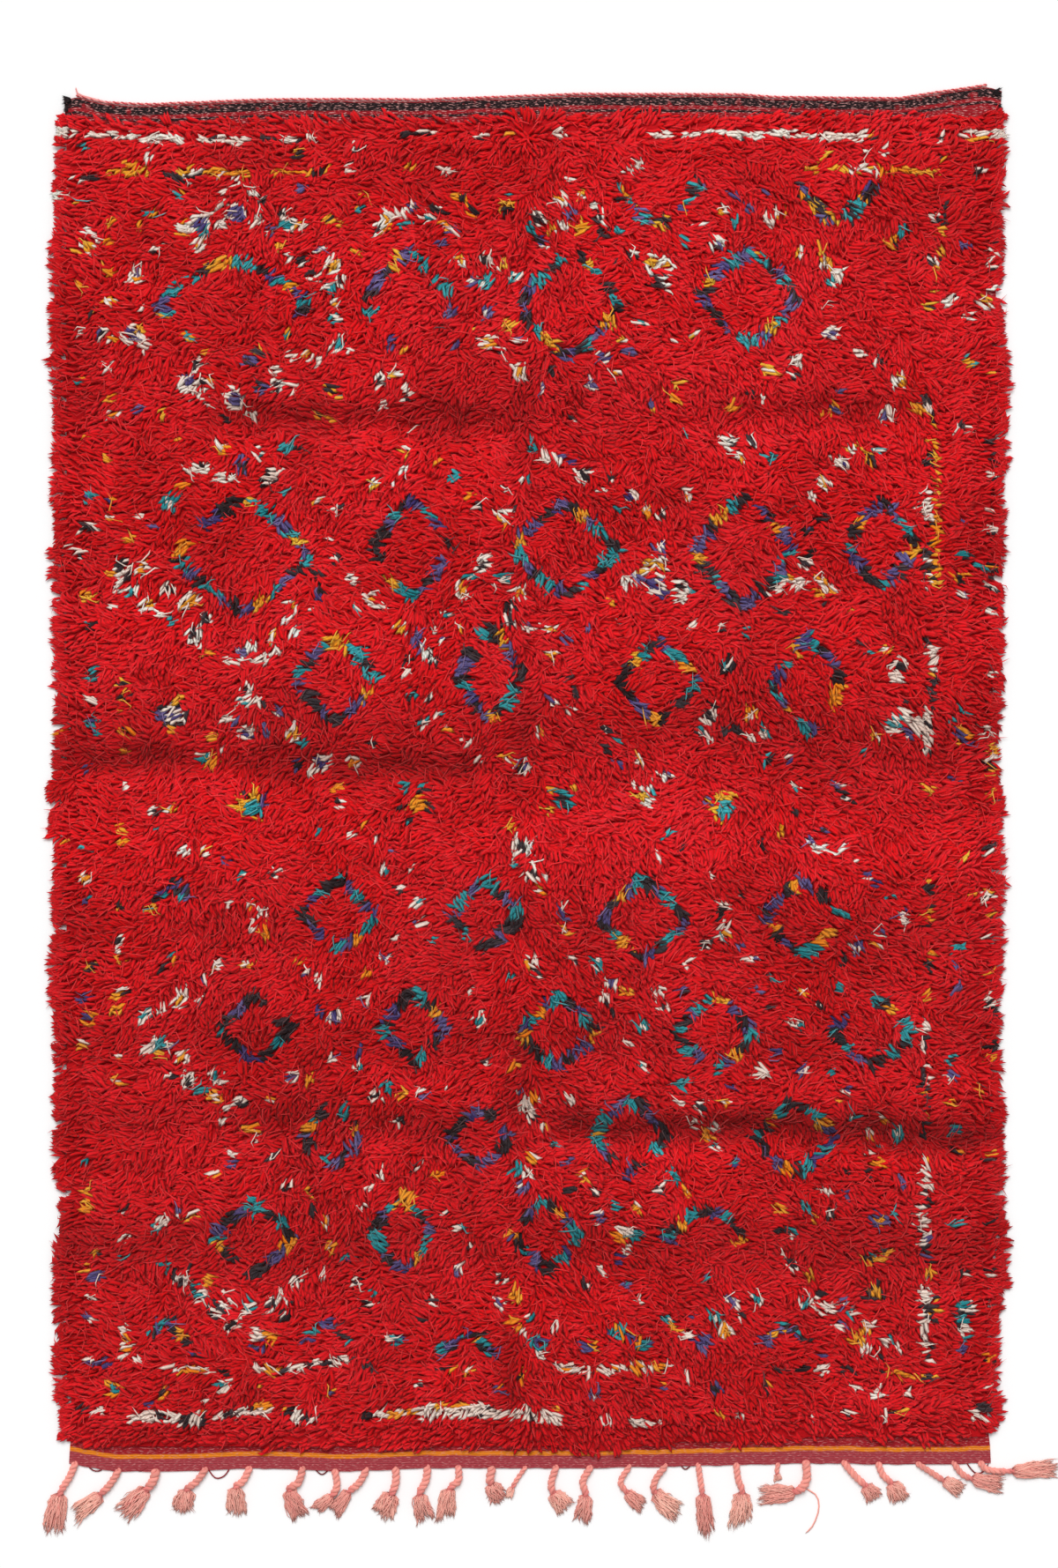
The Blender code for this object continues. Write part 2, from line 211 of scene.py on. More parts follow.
class Lozenge(NamedTuple):
    """A lozenge outline in knots: its middle, its reach and how much of it is broken away."""

    x: float
    y: float
    half_width: float
    half_height: float
    broken: float = 0.06
    open_side: OpenSide = OpenSide.NONE


class Stroke(NamedTuple):
    """A line of knots: its mix of yarns, its width in knots, the share kept, and its points."""

    mix: str
    width: float
    kept: float
    points: tuple[tuple[float, float], ...]


class Block(NamedTuple):
    """A knotted block: its middle, its reach in knots, and its yarns, the rim's first."""

    x: float
    y: float
    size: float
    yarns: str


LOZENGES = (
    Lozenge(-62, 100, 15.5, 9.5, 0.10, OpenSide.BOTTOM),
    Lozenge(-25, 100, 9.5, 10.5, 0.10, OpenSide.BOTTOM),
    Lozenge(8.5, 100, 10, 11),
    Lozenge(46, 101.5, 10, 9.5, 0.18),
    Lozenge(-60, 47, 13.5, 11.5),
    Lozenge(-24.5, 48.5, 8, 10, 0.12),
    Lozenge(7.5, 48.5, 10.5, 9.5, 0.0),
    Lozenge(45, 48, 10, 11),
    Lozenge(74, 49.5, 7, 8.5),
    Lozenge(-40.5, 21, 8, 8.5),
    Lozenge(-8, 22, 6.5, 9),
    Lozenge(27, 20.5, 8, 8),
    Lozenge(58.5, 20, 7, 9.5, 0.22),
    Lozenge(-40, -28.5, 7.5, 7),
    Lozenge(-9, -28.5, 6.5, 7),
    Lozenge(24, -29.5, 8.5, 8),
    Lozenge(57.5, -29, 8, 7.5),
    Lozenge(-57.5, -52.5, 7, 6.5, 0.25),
    Lozenge(-24, -52, 6.5, 7),
    Lozenge(6, -53, 7.5, 7, 0.0),
    Lozenge(39, -53.5, 8, 7.5),
    Lozenge(72, -53, 8, 7),
    Lozenge(-41.5, -75, 6, 6),
    Lozenge(-10.5, -75.5, 6, 6),
    Lozenge(21, -75, 7.5, 7.5),
    Lozenge(56, -75.5, 8, 7.5),
    Lozenge(-58, -96.5, 8, 7),
    Lozenge(-26.5, -95.5, 6, 7.5),
    Lozenge(3.5, -96, 6.5, 7),
    Lozenge(37, -96.5, 8, 6, 0.1, OpenSide.BOTTOM),
)

# Chevrons and bars in the lozenges' yarns
JEWEL_STROKES = (
    Stroke(JEWEL, 1.9, 0.95, ((19, 124), (21, 121), (24, 118), (27, 117), (30, 118), (33, 122), (36, 125))),
    Stroke(JEWEL, 2.1, 0.95, ((57, 125), (59, 122), (61, 120), (64, 118), (68, 119), (71, 123), (74, 125))),
    Stroke("OCT", 1.6, 0.90, ((76, 113), (81, 117))),
    Stroke("OTCO", 1.5, 0.90, ((35.5, 102), (37, 99), (39.5, 96.5))),
    Stroke("OTO", 1.2, 0.80, ((46.5, 111), (51, 107.5))),
    Stroke(JEWEL, 1.9, 0.95, ((-80, -27), (-78, -25), (-75, -22), (-72, -25))),
    Stroke(JEWEL, 1.9, 0.90, ((-80, -117), (-76, -114), (-72, -118), (-70, -121))),
    Stroke(JEWEL, 1.9, 0.90, ((-47, -118), (-42, -114), (-38, -118))),
    Stroke(JEWEL, 2.2, 0.95, ((-18, -120), (-13, -117), (-10, -117), (-7, -121))),
    Stroke(JEWEL, 2.1, 0.95, ((12, -120), (18, -116), (24, -119))),
    Stroke(JEWEL, 2.2, 0.95, ((47, -120), (54, -115), (58, -118))),
    Stroke("TOC", 1.8, 0.90, ((70, -101), (78, -99))),
)

# The ivory figures between the lozenges, block by block from the head down
BLOCK_ROWS = (
    # Over the first row of lozenges
    (-92, 112, 2.0, "IO"), (-94.5, 112, 1.6, "OI"), (-88, 113.5, 1.1, "O"), (-93, 115, 0.9, "I"),
    (-88, 107, 1.2, "O"), (-82.5, 106, 1.9, "IOV"), (-78, 111.5, 1.1, "IC"), (-94.5, 104, 1.3, "O"),
    (-79, 119, 1.4, "TO"), (-73, 123, 1.3, "TO"), (-88, 117.5, 0.8, "O"), (-81.5, 117, 0.8, "OV"),
    (-72.5, 116, 1.6, "OI"), (-69.5, 117.5, 2.3, "IV"), (-68, 115.5, 1.3, "T"), (-69, 112.5, 1.3, "IO"),
    (-65, 117, 1.5, "I"), (-64.5, 121, 1.0, "I"), (-64, 123.5, 1.0, "I"), (-61.5, 126, 1.1, "I"),
    (-58, 124, 1.3, "I"), (-56, 121.5, 1.3, "IC"), (-61.5, 119.5, 2.2, "IV"), (-61, 118.5, 1.3, "V"),
    (-57, 117.5, 1.7, "I"), (-54.5, 115.5, 1.3, "VI"), (-52, 119.5, 1.3, "IC"), (-50.5, 117, 2.0, "IT"),
    (-48, 116.5, 1.2, "OI"), (-52, 112.5, 0.9, "O"), (-50, 110.5, 0.9, "I"), (-47.5, 109, 1.1, "CI"),
    (-45.5, 106.5, 1.4, "IC"), (-44, 111.5, 1.1, "IV"), (-41, 108, 1.8, "IO"), (-39.5, 105, 1.7, "IC"),
    (-42.5, 104, 1.4, "TI"), (-36, 111, 1.0, "O"), (-47, 124.5, 1.0, "V"), (-41.5, 118, 1.4, "OC"),
    (-39, 117, 1.0, "OC"), (-34.5, 122.5, 0.9, "OV"), (-36, 120, 0.9, "TO"),
    (-32, 116, 1.3, "IC"), (-30, 118, 1.7, "IO"), (-29.5, 116.5, 1.2, "O"), (-27, 119, 1.2, "I"),
    (-26, 117, 1.0, "T"), (-24, 120.5, 1.3, "VI"), (-21.5, 118, 1.3, "IT"), (-19, 120, 1.3, "CI"),
    (-18, 116.5, 1.3, "OI"), (-16, 116, 1.0, "VI"), (-18, 113, 1.0, "V"), (-14, 122.5, 1.4, "OCT"),
    (-12, 120, 1.2, "OC"), (-11, 118.5, 0.8, "I"), (-14.5, 109.5, 1.3, "IO"), (-9.5, 109.5, 1.5, "IC"),
    (-12, 105, 1.2, "VI"), (-9, 105, 1.4, "TI"), (-5.5, 108, 1.5, "IO"), (-3, 105.5, 1.2, "IT"),
    (-3.5, 123, 0.8, "T"), (-4.5, 120.5, 1.2, "OC"),
    (6, 122.5, 1.5, "IO"), (8.5, 126.5, 0.9, "I"), (11, 123, 1.6, "IO"), (13, 120.5, 1.1, "I"),
    (2, 118.5, 1.8, "IC"), (0.5, 116, 1.1, "TI"), (2, 114, 1.3, "VC"), (2.5, 112, 0.9, "I"),
    (8.5, 119.5, 1.2, "V"), (5, 116, 1.2, "OI"), (10.5, 116, 1.3, "O"), (7, 117.5, 1.2, "I"),
    (14, 118, 1.5, "IC"), (15.5, 115, 1.4, "CV"), (18, 115.5, 0.8, "T"),
    (40.5, 120, 1.6, "IO"), (43, 123, 1.0, "V"), (46.5, 120.5, 1.3, "V"), (43.5, 117.5, 1.2, "IT"),
    (49.5, 123.5, 1.0, "VI"), (53, 119, 1.3, "OI"), (50.5, 117.5, 1.1, "I"), (36, 116.5, 0.8, "I"),
    (32.5, 113, 0.9, "TI"), (39.5, 112.5, 1.6, "IVC"), (21.5, 111, 1.4, "CVI"), (18, 108.5, 0.9, "C"),
    (56.5, 111, 1.2, "IO"), (25.5, 108.5, 1.8, "IO"), (29, 108, 1.8, "IO"), (27.5, 105, 1.6, "CI"),
    (29, 103, 1.0, "I"), (62.5, 108.5, 1.7, "OI"), (64.5, 106.5, 1.4, "I"), (63.5, 104.5, 1.2, "TI"),
    (61, 111.5, 0.9, "O"), (85, 118, 1.3, "IC"), (84.5, 109, 1.4, "IC"), (91.5, 112, 1.2, "V"),
    (94.5, 127.5, 1.2, "IC"), (74.5, 132, 1.0, "I"), (62, 131.5, 0.7, "O"), (70.5, 132, 0.7, "IC"),
    # Between the first lozenges
    (-88, 100.5, 1.3, "OI"), (-81, 98.5, 0.9, "I"), (-76.5, 98.5, 1.0, "O"), (-92.5, 98, 0.9, "OC"),
    (-95, 94.5, 1.4, "I"), (-90, 94, 1.2, "IVC"), (-87.5, 92.5, 0.9, "IO"), (-83.5, 93.5, 1.9, "IV"),
    (-81, 94, 1.4, "O"), (-81, 92, 1.2, "I"), (-71.5, 93, 1.3, "OT"), (-67.5, 90, 0.8, "O"),
    (-88.5, 87, 1.0, "I"), (-70, 87.5, 1.5, "IC"), (-72, 84, 2.2, "IV"), (-68.5, 83.5, 1.8, "IC"),
    (-66, 84, 1.0, "OI"), (-70, 81, 1.2, "IO"), (-68, 79, 1.2, "I"), (-62, 80, 2.2, "IV"),
    (-59, 77, 1.2, "I"), (-63.5, 75.5, 0.8, "C"), (-59, 88, 1.6, "VC"), (-56.5, 89.5, 1.3, "OC"),
    (-56.5, 82.5, 1.4, "VC"), (-53, 86, 1.2, "I"), (-52.5, 83, 1.8, "IC"), (-50, 82.5, 1.1, "I"),
    (-49.5, 89.5, 1.3, "IO"), (-46.5, 89, 1.3, "IO"), (-44, 88, 0.9, "I"), (-40, 91.5, 1.4, "IT"),
    (-37.5, 90, 0.7, "I"), (-51, 94, 1.1, "OT"), (-40, 97, 1.3, "TI"), (-40.5, 100.5, 1.2, "IO"),
    (-29, 91.5, 1.3, "VT"), (-26, 90, 0.9, "O"), (-31.5, 84, 1.6, "IC"), (-28, 85, 1.4, "IO"),
    (-25.5, 81, 1.7, "IC"), (-30, 79, 0.8, "I"), (-17.5, 83.5, 0.8, "CI"), (-41.5, 82, 1.2, "OC"),
    (-39.5, 81, 1.1, "OT"), (-43.5, 76.5, 1.0, "OC"), (-41, 76, 0.9, "O"), (-15.5, 91.5, 0.9, "V"),
    (-18.5, 94.5, 0.9, "CV"), (-11.5, 95, 0.7, "O"), (-9, 98.5, 1.6, "VI"), (-4.5, 95.5, 1.3, "O"),
    (-8.5, 92, 1.7, "IO"), (-2, 92, 1.0, "VI"), (-6, 89.5, 1.1, "IC"), (-2, 86, 1.6, "IO"),
    (4.5, 85.5, 1.0, "CI"), (2.5, 82, 1.2, "VI"), (23.5, 96, 1.1, "IT"), (27.5, 92.5, 0.9, "I"),
    (30, 92.5, 0.7, "I"), (19.5, 92.5, 1.2, "OI"), (21.5, 90, 0.8, "V"), (15, 88.5, 1.6, "IV"),
    (18, 85.5, 1.1, "IO"), (13, 83, 1.4, "IV"), (35, 93.5, 0.9, "OI"), (49.5, 93, 1.3, "VT"),
    (56, 102, 1.3, "TC"), (63, 100, 1.1, "I"), (63.5, 94, 1.5, "IV"), (71, 93, 0.8, "OI"),
    (56, 88.5, 1.4, "I"), (50.5, 86, 1.2, "OI"), (55, 85.5, 1.0, "CI"), (69, 89.5, 1.1, "I"),
    (74, 88, 1.7, "IC"), (78, 84, 1.7, "IO"), (83.5, 79.5, 1.4, "IC"), (82, 78, 1.1, "O"),
    (75, 77, 1.8, "IV"), (64.5, 78, 1.6, "OV"), (65, 81.5, 0.9, "V"), (61.5, 76.5, 0.7, "OV"),
    (46.5, 81.5, 1.2, "C"), (49.5, 80, 0.8, "I"), (31, 83.5, 0.9, "O"), (25.5, 79, 1.0, "OV"),
    (30.5, 80, 1.1, "O"), (43, 78.5, 0.8, "O"), (11, 79, 0.7, "IO"), (8.5, 76.5, 0.9, "IC"),
    (45.5, 76.5, 0.9, "IC"), (92.5, 87.5, 1.5, "TO"), (96, 100.5, 1.7, "IO"), (92.5, 96.5, 1.3, "IC"),
    (89, 101.5, 1.3, "IC"), (87.5, 99.5, 0.9, "I"), (-94, 84, 1.0, "TO"), (-88, 80, 1.2, "O"),
    (-87.5, 77, 1.3, "IO"), (-82.5, 78, 1.1, "V"), (-77, 77, 0.8, "O"), (-93.5, 72.5, 0.7, "O"),
    # Over the second row of lozenges
    (-51, 70, 1.5, "T"), (-48.5, 69.5, 1.2, "CT"), (-64.5, 69.5, 1.4, "OI"), (-56.5, 69, 1.4, "IT"),
    (-73.5, 71, 0.8, "CO"), (-25, 74, 0.7, "I"), (-26, 69.5, 1.0, "OI"), (-18.5, 67, 0.8, "O"),
    (-69, 65.5, 1.8, "IC"), (-71.5, 64.5, 1.2, "I"), (-65, 63.5, 1.4, "I"), (-60.5, 66, 1.4, "VC"),
    (-62, 64, 1.0, "I"), (-55, 63, 1.6, "CI"), (-53.5, 64, 1.3, "I"), (-72.5, 61.5, 1.2, "O"),
    (-75.5, 58.5, 1.6, "TI"), (-51, 60.5, 0.9, "T"), (-44.5, 59, 1.3, "OI"), (-40, 56.5, 1.2, "IC"),
    (-32.5, 62.5, 1.3, "OI"), (-29, 61.5, 0.8, "IT"), (-26.5, 65, 1.0, "I"), (-15.5, 63.5, 1.1, "T"),
    (-12.5, 60, 1.0, "O"), (-10.5, 57, 1.2, "IC"), (-6, 56, 1.2, "I"), (-5.5, 54, 1.1, "OI"),
    (-3.5, 57.5, 1.0, "IC"), (-4.5, 60.5, 1.0, "VI"), (-0.5, 63.5, 1.0, "IT"), (0.5, 70, 1.2, "TC"),
    (-93, 59, 1.4, "TV"), (-88.5, 67.5, 0.9, "O"), (-88.5, 59, 1.0, "OV"), (-87.5, 54.5, 1.1, "IO"),
    (3, 68, 1.1, "I"), (6, 68, 1.2, "IV"), (8.5, 67, 1.2, "V"), (11, 64, 1.5, "IC"), (17.5, 63.5, 0.8, "CI"),
    (15.5, 60.5, 0.9, "OI"), (21, 60, 1.4, "IV"), (25, 56.5, 1.3, "IO"), (28, 55.5, 1.0, "IC"),
    (19, 57, 0.7, "TC"), (33, 60.5, 1.0, "IO"), (33, 72, 0.9, "T"), (42, 71, 1.3, "IC"), (47, 71, 1.1, "IC"),
    (44.5, 68, 1.4, "IO"), (50.5, 68, 1.2, "TC"), (68, 69.5, 1.4, "OI"), (72, 67, 1.5, "OC"),
    (65.5, 67, 1.4, "IV"), (74, 69, 0.9, "TI"), (60, 60, 1.3, "I"), (62, 62.5, 1.3, "IO"),
    (55.5, 58, 1.0, "CI"), (61.5, 55, 1.1, "CI"), (58.5, 52, 1.0, "CV"), (91, 73.5, 1.5, "IC"),
    (97.5, 53, 1.2, "I"), (91, 55, 0.7, "V"),
    # Between the second and the third row
    (-93, 53, 1.9, "IC"), (-94.5, 47, 1.4, "IC"), (-97.5, 49, 0.9, "IO"), (-84, 50.5, 0.9, "O"),
    (-81, 55, 0.9, "I"), (-79, 53, 0.8, "CV"), (-85.5, 45, 2.2, "IC"), (-84.5, 43, 1.6, "IC"),
    (-87.5, 43.5, 1.0, "O"), (-81, 44.5, 1.9, "IO"), (-86.5, 40, 1.1, "I"), (-83.5, 39.5, 1.3, "IT"),
    (-93, 38.5, 1.4, "O"), (-92.5, 32.5, 1.2, "CT"), (-87.5, 36, 0.9, "CI"), (-80, 37, 2.1, "IO"),
    (-76, 40.5, 1.7, "IC"), (-71.5, 37.5, 2.2, "IO"), (-77.5, 34.5, 1.2, "I"), (-75, 33.5, 1.3, "T"),
    (-68, 34, 1.4, "IC"), (-70.5, 30.5, 1.7, "IC"), (-69, 28.5, 1.1, "I"), (-67.5, 26.5, 1.1, "O"),
    (-63, 25, 1.4, "I"), (-60, 26.5, 1.7, "IVC"), (-58.5, 28, 1.2, "I"), (-55.5, 25.5, 1.3, "I"),
    (-53, 27, 1.2, "I"), (-54.5, 30, 1.0, "OI"), (-49.5, 31, 1.2, "I"), (-49, 37, 1.3, "IO"),
    (-51, 34, 0.9, "I"), (-45.5, 35.5, 0.8, "I"), (-41, 51, 0.9, "IV"), (-41.5, 45.5, 1.1, "IC"),
    (-39.5, 46.5, 0.8, "CV"), (-37, 42, 1.2, "IC"), (-44.5, 43, 1.0, "C"), (-43.5, 39, 1.2, "VC"),
    (-33, 38, 1.6, "IO"), (-31, 36, 1.0, "I"), (-36, 36, 0.8, "TI"), (-27, 32, 1.5, "IO"),
    (-20, 31.5, 1.2, "I"), (-23.5, 30, 1.4, "V"), (-23, 28, 1.3, "VI"), (-21.5, 26.5, 0.9, "I"),
    (-18, 29, 1.1, "VI"), (-25.5, 25, 1.3, "CI"), (-20, 25.5, 1.3, "CI"), (-17.5, 35, 1.1, "IT"),
    (-15, 32.5, 0.9, "OI"), (-9.5, 45.5, 2.0, "IC"), (-12, 42.5, 1.3, "TI"), (-14, 40, 1.7, "IO"),
    (-5.5, 42, 1.8, "TI"), (-7, 40, 0.9, "I"), (-2, 39.5, 1.8, "IO"), (-4, 36, 1.4, "CI"),
    (-4, 33.5, 1.2, "IC"), (0, 32.5, 1.5, "IV"), (4, 31.5, 1.4, "IO"), (4.5, 26.5, 1.3, "IO"),
    (8, 29, 0.9, "VI"), (12.5, 32, 1.0, "CV"), (18.5, 33.5, 0.9, "IC"), (17, 37, 0.9, "O"),
    (20.5, 41.5, 1.3, "I"), (23, 42.5, 1.8, "IV"), (24.5, 45, 1.7, "OI"), (27.5, 45.5, 1.8, "IO"),
    (27.5, 49, 1.2, "VI"), (26, 41, 2.2, "IV"), (31.5, 40.5, 2.0, "IC"), (28, 39, 1.1, "V"),
    (34, 39.5, 1.0, "T"), (31.5, 38, 1.3, "I"), (34, 32, 1.2, "VI"), (40, 32, 0.9, "CI"),
    (45, 31, 0.9, "TI"), (53, 35.5, 0.9, "C"), (54, 42.5, 1.4, "OI"), (52, 40.5, 1.8, "I"),
    (50, 39, 1.0, "TI"), (56, 40.5, 1.6, "I"), (61, 42.5, 1.6, "OI"), (60.5, 39, 1.3, "O"),
    (63, 40, 1.4, "IO"), (62.5, 37, 1.1, "CI"), (68, 35, 0.7, "O"), (57.5, 45.5, 1.7, "IC"),
    (58.5, 47.5, 1.2, "C"), (91.5, 47.5, 1.2, "CT"), (90.5, 42.5, 1.7, "OC"), (91, 39, 1.2, "VI"),
    (95, 44.5, 0.8, "T"), (97.5, 40.5, 1.3, "CI"),
    # Beside the third row
    (78, 24, 1.7, "IC"), (77.5, 21.5, 1.3, "I"), (74.5, 27.5, 1.3, "OI"), (72, 26, 1.1, "T"),
    (69.5, 28.5, 1.0, "CI"), (41.5, 24, 1.7, "CIT"), (-75, 13.5, 3.3, "CIV"), (-77, 12.5, 1.5, "V"),
    (-73, 13, 1.4, "I"), (-74, 17, 1.1, "O"), (-74.5, 10, 1.1, "O"), (-92, 22.5, 1.5, "TC"),
    (-91.5, 16.5, 1.0, "IC"), (-91.5, 12, 1.4, "TV"), (-90.5, 9.5, 0.9, "T"), (-85, 20, 1.4, "OC"),
    (-85, 17, 1.1, "OC"), (-86, 14, 0.9, "O"), (-85, 10, 1.4, "OC"), (-85.5, 6, 1.0, "IO"),
    (-99, 10, 1.0, "O"), (-93.5, 2, 0.9, "V"), (-59.5, 19.5, 1.4, "IC"), (-60, 16.5, 1.7, "IT"),
    (-56.5, 16, 1.2, "IC"), (-63, 13, 1.4, "I"), (-61.5, 12, 0.9, "V"), (-59, 10, 1.6, "IV"),
    (-55.5, 10.5, 1.1, "VI"), (-66.5, 9, 1.2, "O"), (-64, 7, 0.8, "I"), (-53.5, 14, 1.2, "VI"),
    (-49.5, 10, 1.7, "IO"), (-47, 8, 1.1, "T"), (-49, 3.5, 1.3, "VC"), (-43.5, 3.5, 1.8, "IV"),
    (-37, 4, 1.6, "IO"), (-45.5, 2, 1.0, "I"), (-68.5, 4.5, 1.5, "IT"), (-66.5, 3.5, 1.1, "O"),
    (-24.5, 17.5, 1.3, "TC"), (-21, 17, 1.0, "IC"), (-25.5, 22.5, 1.0, "I"), (-22, 11.5, 1.3, "TI"),
    (-19, 13.5, 1.3, "TI"), (-16.5, 11, 1.0, "IO"), (-32.5, 8, 1.0, "IC"), (-13, 7.5, 0.9, "I"),
    (-10.5, 4, 1.2, "TI"), (-4.5, 4.5, 1.3, "OI"), (-1.5, 3, 1.5, "ICV"),
    (8.5, 21, 1.0, "IC"), (9.5, 18.5, 1.3, "C"), (5, 16, 1.3, "VI"), (8.5, 14.5, 0.7, "I"),
    (2, 10, 1.2, "IO"), (15.5, 10.5, 1.2, "CI"), (19, 8, 0.9, "T"), (16, 6, 1.0, "CI"),
    (22.5, 4, 1.3, "IO"), (19.5, 3, 0.8, "V"), (29, 1, 1.3, "IV"), (38.5, 14, 1.5, "CI"),
    (35.5, 10.5, 1.3, "TI"), (41.5, 10.5, 1.3, "C"), (43.5, 10.5, 1.1, "CI"), (37, 12, 0.9, "I"),
    (38, 8.5, 0.9, "I"), (46.5, 14, 1.4, "OI"), (49.5, 10, 1.5, "TI"), (46.5, 8.5, 1.0, "I"),
    (50.5, 4, 1.0, "TC"), (54.5, 4, 1.2, "VI"), (73.5, 9, 1.4, "OI"), (76, 10.5, 1.4, "I"),
    (77, 12.5, 1.6, "TI"), (79.5, 13.5, 1.6, "I"), (81.5, 11.5, 1.9, "I"), (79.5, 10, 1.7, "IV"),
    (83.5, 9.5, 1.4, "I"), (78.5, 16, 0.8, "C"), (70, 6, 0.8, "T"), (90.5, 9.5, 2.0, "OV"),
    (91.5, 14, 1.1, "T"), (88.5, 13, 0.8, "T"), (93, 8, 1.2, "V"), (96.5, 10, 1.5, "IC"),
    (97, 3.5, 1.0, "IC"), (90, 0, 0.9, "V"),
    # Round the stars
    (-58, -6, 1.9, "T"), (-60.5, -5.5, 1.5, "O"), (-58, -3, 1.3, "O"), (-56, -4.5, 1.1, "V"),
    (-60, -3, 0.8, "C"), (-57.5, -8, 0.9, "O"), (-23, -5, 1.9, "O"), (-25.5, -1.5, 1.2, "TC"),
    (-22, -2, 1.1, "TC"), (-21, -5.5, 1.2, "C"), (-26.5, -5.5, 0.9, "C"), (-25, -8.5, 0.8, "CT"),
    (7, -4.5, 2.3, "TC"), (9, -1.5, 0.9, "O"), (5, -2, 0.9, "OT"), (4, -6.5, 0.8, "O"),
    (41, -6, 1.9, "T"), (39.5, -3.5, 1.0, "O"), (42, -3.5, 1.1, "O"), (37.5, -4.5, 1.0, "VO"),
    (42.5, -2, 0.8, "V"), (41.5, -9, 0.9, "O"), (39, -7, 0.9, "O"),
    (24.5, -2, 1.7, "I"), (25, -5, 1.4, "I"), (23, -3.5, 1.1, "O"), (26, -3.5, 0.8, "T"),
    (22, -0.5, 0.8, "I"),
    (64.5, -1, 1.2, "IV"), (66.5, -3.5, 1.2, "CI"), (56.5, -1.5, 1.0, "IT"), (55.5, -7, 1.0, "C"),
    (-84, -1, 0.8, "I"), (-78, -7, 1.6, "IC"), (-75.5, -6.5, 1.2, "OI"), (-78, -10.5, 0.7, "T"),
    (-75.5, -12.5, 0.8, "V"), (-72.5, -15.5, 1.0, "I"), (-68, -15, 1.3, "IO"), (-63.5, -17.5, 1.1, "V"),
    (-60, -20.5, 1.4, "IT"), (-53, -20, 1.1, "IC"), (-39, -20.5, 1.2, "T"), (-85.5, -10.5, 1.1, "O"),
    (-85.5, -12.5, 1.0, "O"), (-94, -14.5, 0.9, "T"), (-98, -13.5, 0.8, "O"), (-93.5, -21, 1.4, "IO"),
    (-44, -10.5, 0.7, "T"), (-39.5, -5, 1.2, "IC"), (-40, -1.5, 1.2, "O"), (-35, -9.5, 0.9, "O"),
    (-38, -12, 0.9, "I"), (-32, -12.5, 0.8, "I"), (-4, -10, 1.2, "O"), (-1.5, -14, 1.8, "IC"),
    (-3, -17, 1.0, "TI"), (0, -19.5, 1.7, "IVC"), (1.5, -17, 0.9, "OI"), (4, -20, 1.1, "IV"),
    (-28.5, -15.5, 0.8, "V"), (-30, -19, 1.2, "IT"), (-25, -19, 0.7, "IO"), (29, -11.5, 0.8, "T"),
    (32, -15, 0.8, "CT"), (13.5, -17, 0.8, "VC"), (27.3, -16.3, 0.6, "I"), (53, -10.5, 1.2, "O"),
    (49.5, -13.5, 1.0, "CI"), (61.5, -10.5, 0.9, "VC"), (59, -13, 1.0, "IV"), (61.5, -15, 1.1, "I"),
    (64, -15, 0.9, "I"), (66.5, -14.5, 1.0, "I"), (68.5, -17.5, 0.9, "OI"), (71, -20, 1.0, "IV"),
    (92, -16.5, 0.8, "O"), (38.5, -20, 1.2, "IO"),
    # Round the fourth row of lozenges
    (-86, -27, 1.0, "CO"), (-93, -25.5, 1.3, "TV"), (-62.5, -25.5, 0.9, "I"), (-58.5, -26.5, 1.0, "IO"),
    (-56.5, -28, 1.3, "I"), (-58, -31.5, 0.8, "I"), (-55.5, -32, 1.1, "O"), (-86, -33.5, 1.3, "IC"),
    (-86, -35.5, 1.1, "I"), (-86.5, -37.5, 1.0, "O"), (-75, -37.5, 1.0, "TOC"), (-77, -39.5, 0.9, "C"),
    (-65.5, -39.5, 1.4, "IO"), (-59.5, -39, 1.4, "OI"), (-48.5, -38, 0.9, "O"), (-46.5, -41, 1.0, "IV"),
    (-44.5, -42.5, 1.0, "IC"), (-30.5, -38, 1.3, "IV"), (-23, -30.5, 1.1, "VI"), (-20, -34, 0.9, "T"),
    (-27.5, -33, 0.9, "I"), (-23.5, -26, 1.3, "IT"), (-27, -23, 1.0, "CI"), (-34, -40.5, 0.9, "O"),
    (-34.5, -46.5, 1.3, "VI"), (-12.5, -44.5, 0.9, "I"), (-4, -42, 1.1, "TI"), (0, -38.5, 1.7, "IO"),
    (1.5, -41, 0.9, "CI"), (1.5, -23, 1.1, "OI"), (7, -27, 1.0, "VI"), (7, -29.5, 1.1, "V"),
    (7.5, -32, 1.1, "OI"), (9.5, -37.5, 1.1, "IC"), (14, -39, 1.8, "TI"), (17, -42.5, 1.4, "IV"),
    (20, -45, 1.3, "O"), (16, -46, 1.2, "I"), (17.5, -48.5, 1.2, "C"), (27, -44.5, 1.1, "I"),
    (28, -48, 1.3, "IC"), (44.5, -24, 1.0, "IC"), (40.5, -27, 1.3, "IC"), (40, -28.5, 1.2, "C"),
    (41, -31, 1.0, "I"), (40, -33, 1.2, "TI"), (41.5, -32.5, 0.9, "O"), (37, -35, 1.1, "CI"),
    (33.5, -38.5, 0.8, "I"), (44, -35.5, 0.9, "V"), (47, -38, 1.0, "IV"), (75.5, -25, 1.0, "T"),
    (73, -22, 0.9, "V"), (78.5, -28, 1.3, "VI"), (79, -30, 0.9, "I"), (74, -32, 1.1, "IV"),
    (69, -35.5, 1.7, "VI"), (73, -35, 0.8, "IO"), (66, -38, 0.9, "CI"), (65, -44, 1.1, "T"),
    (58, -45, 1.2, "IO"), (51, -42, 0.9, "T"), (48, -44.5, 1.1, "VC"), (32.5, -44.5, 0.9, "VC"),
    (51, -47.5, 0.9, "CI"), (61, -47.5, 0.9, "IC"), (90.5, -35, 1.3, "T"), (90, -39, 0.9, "V"),
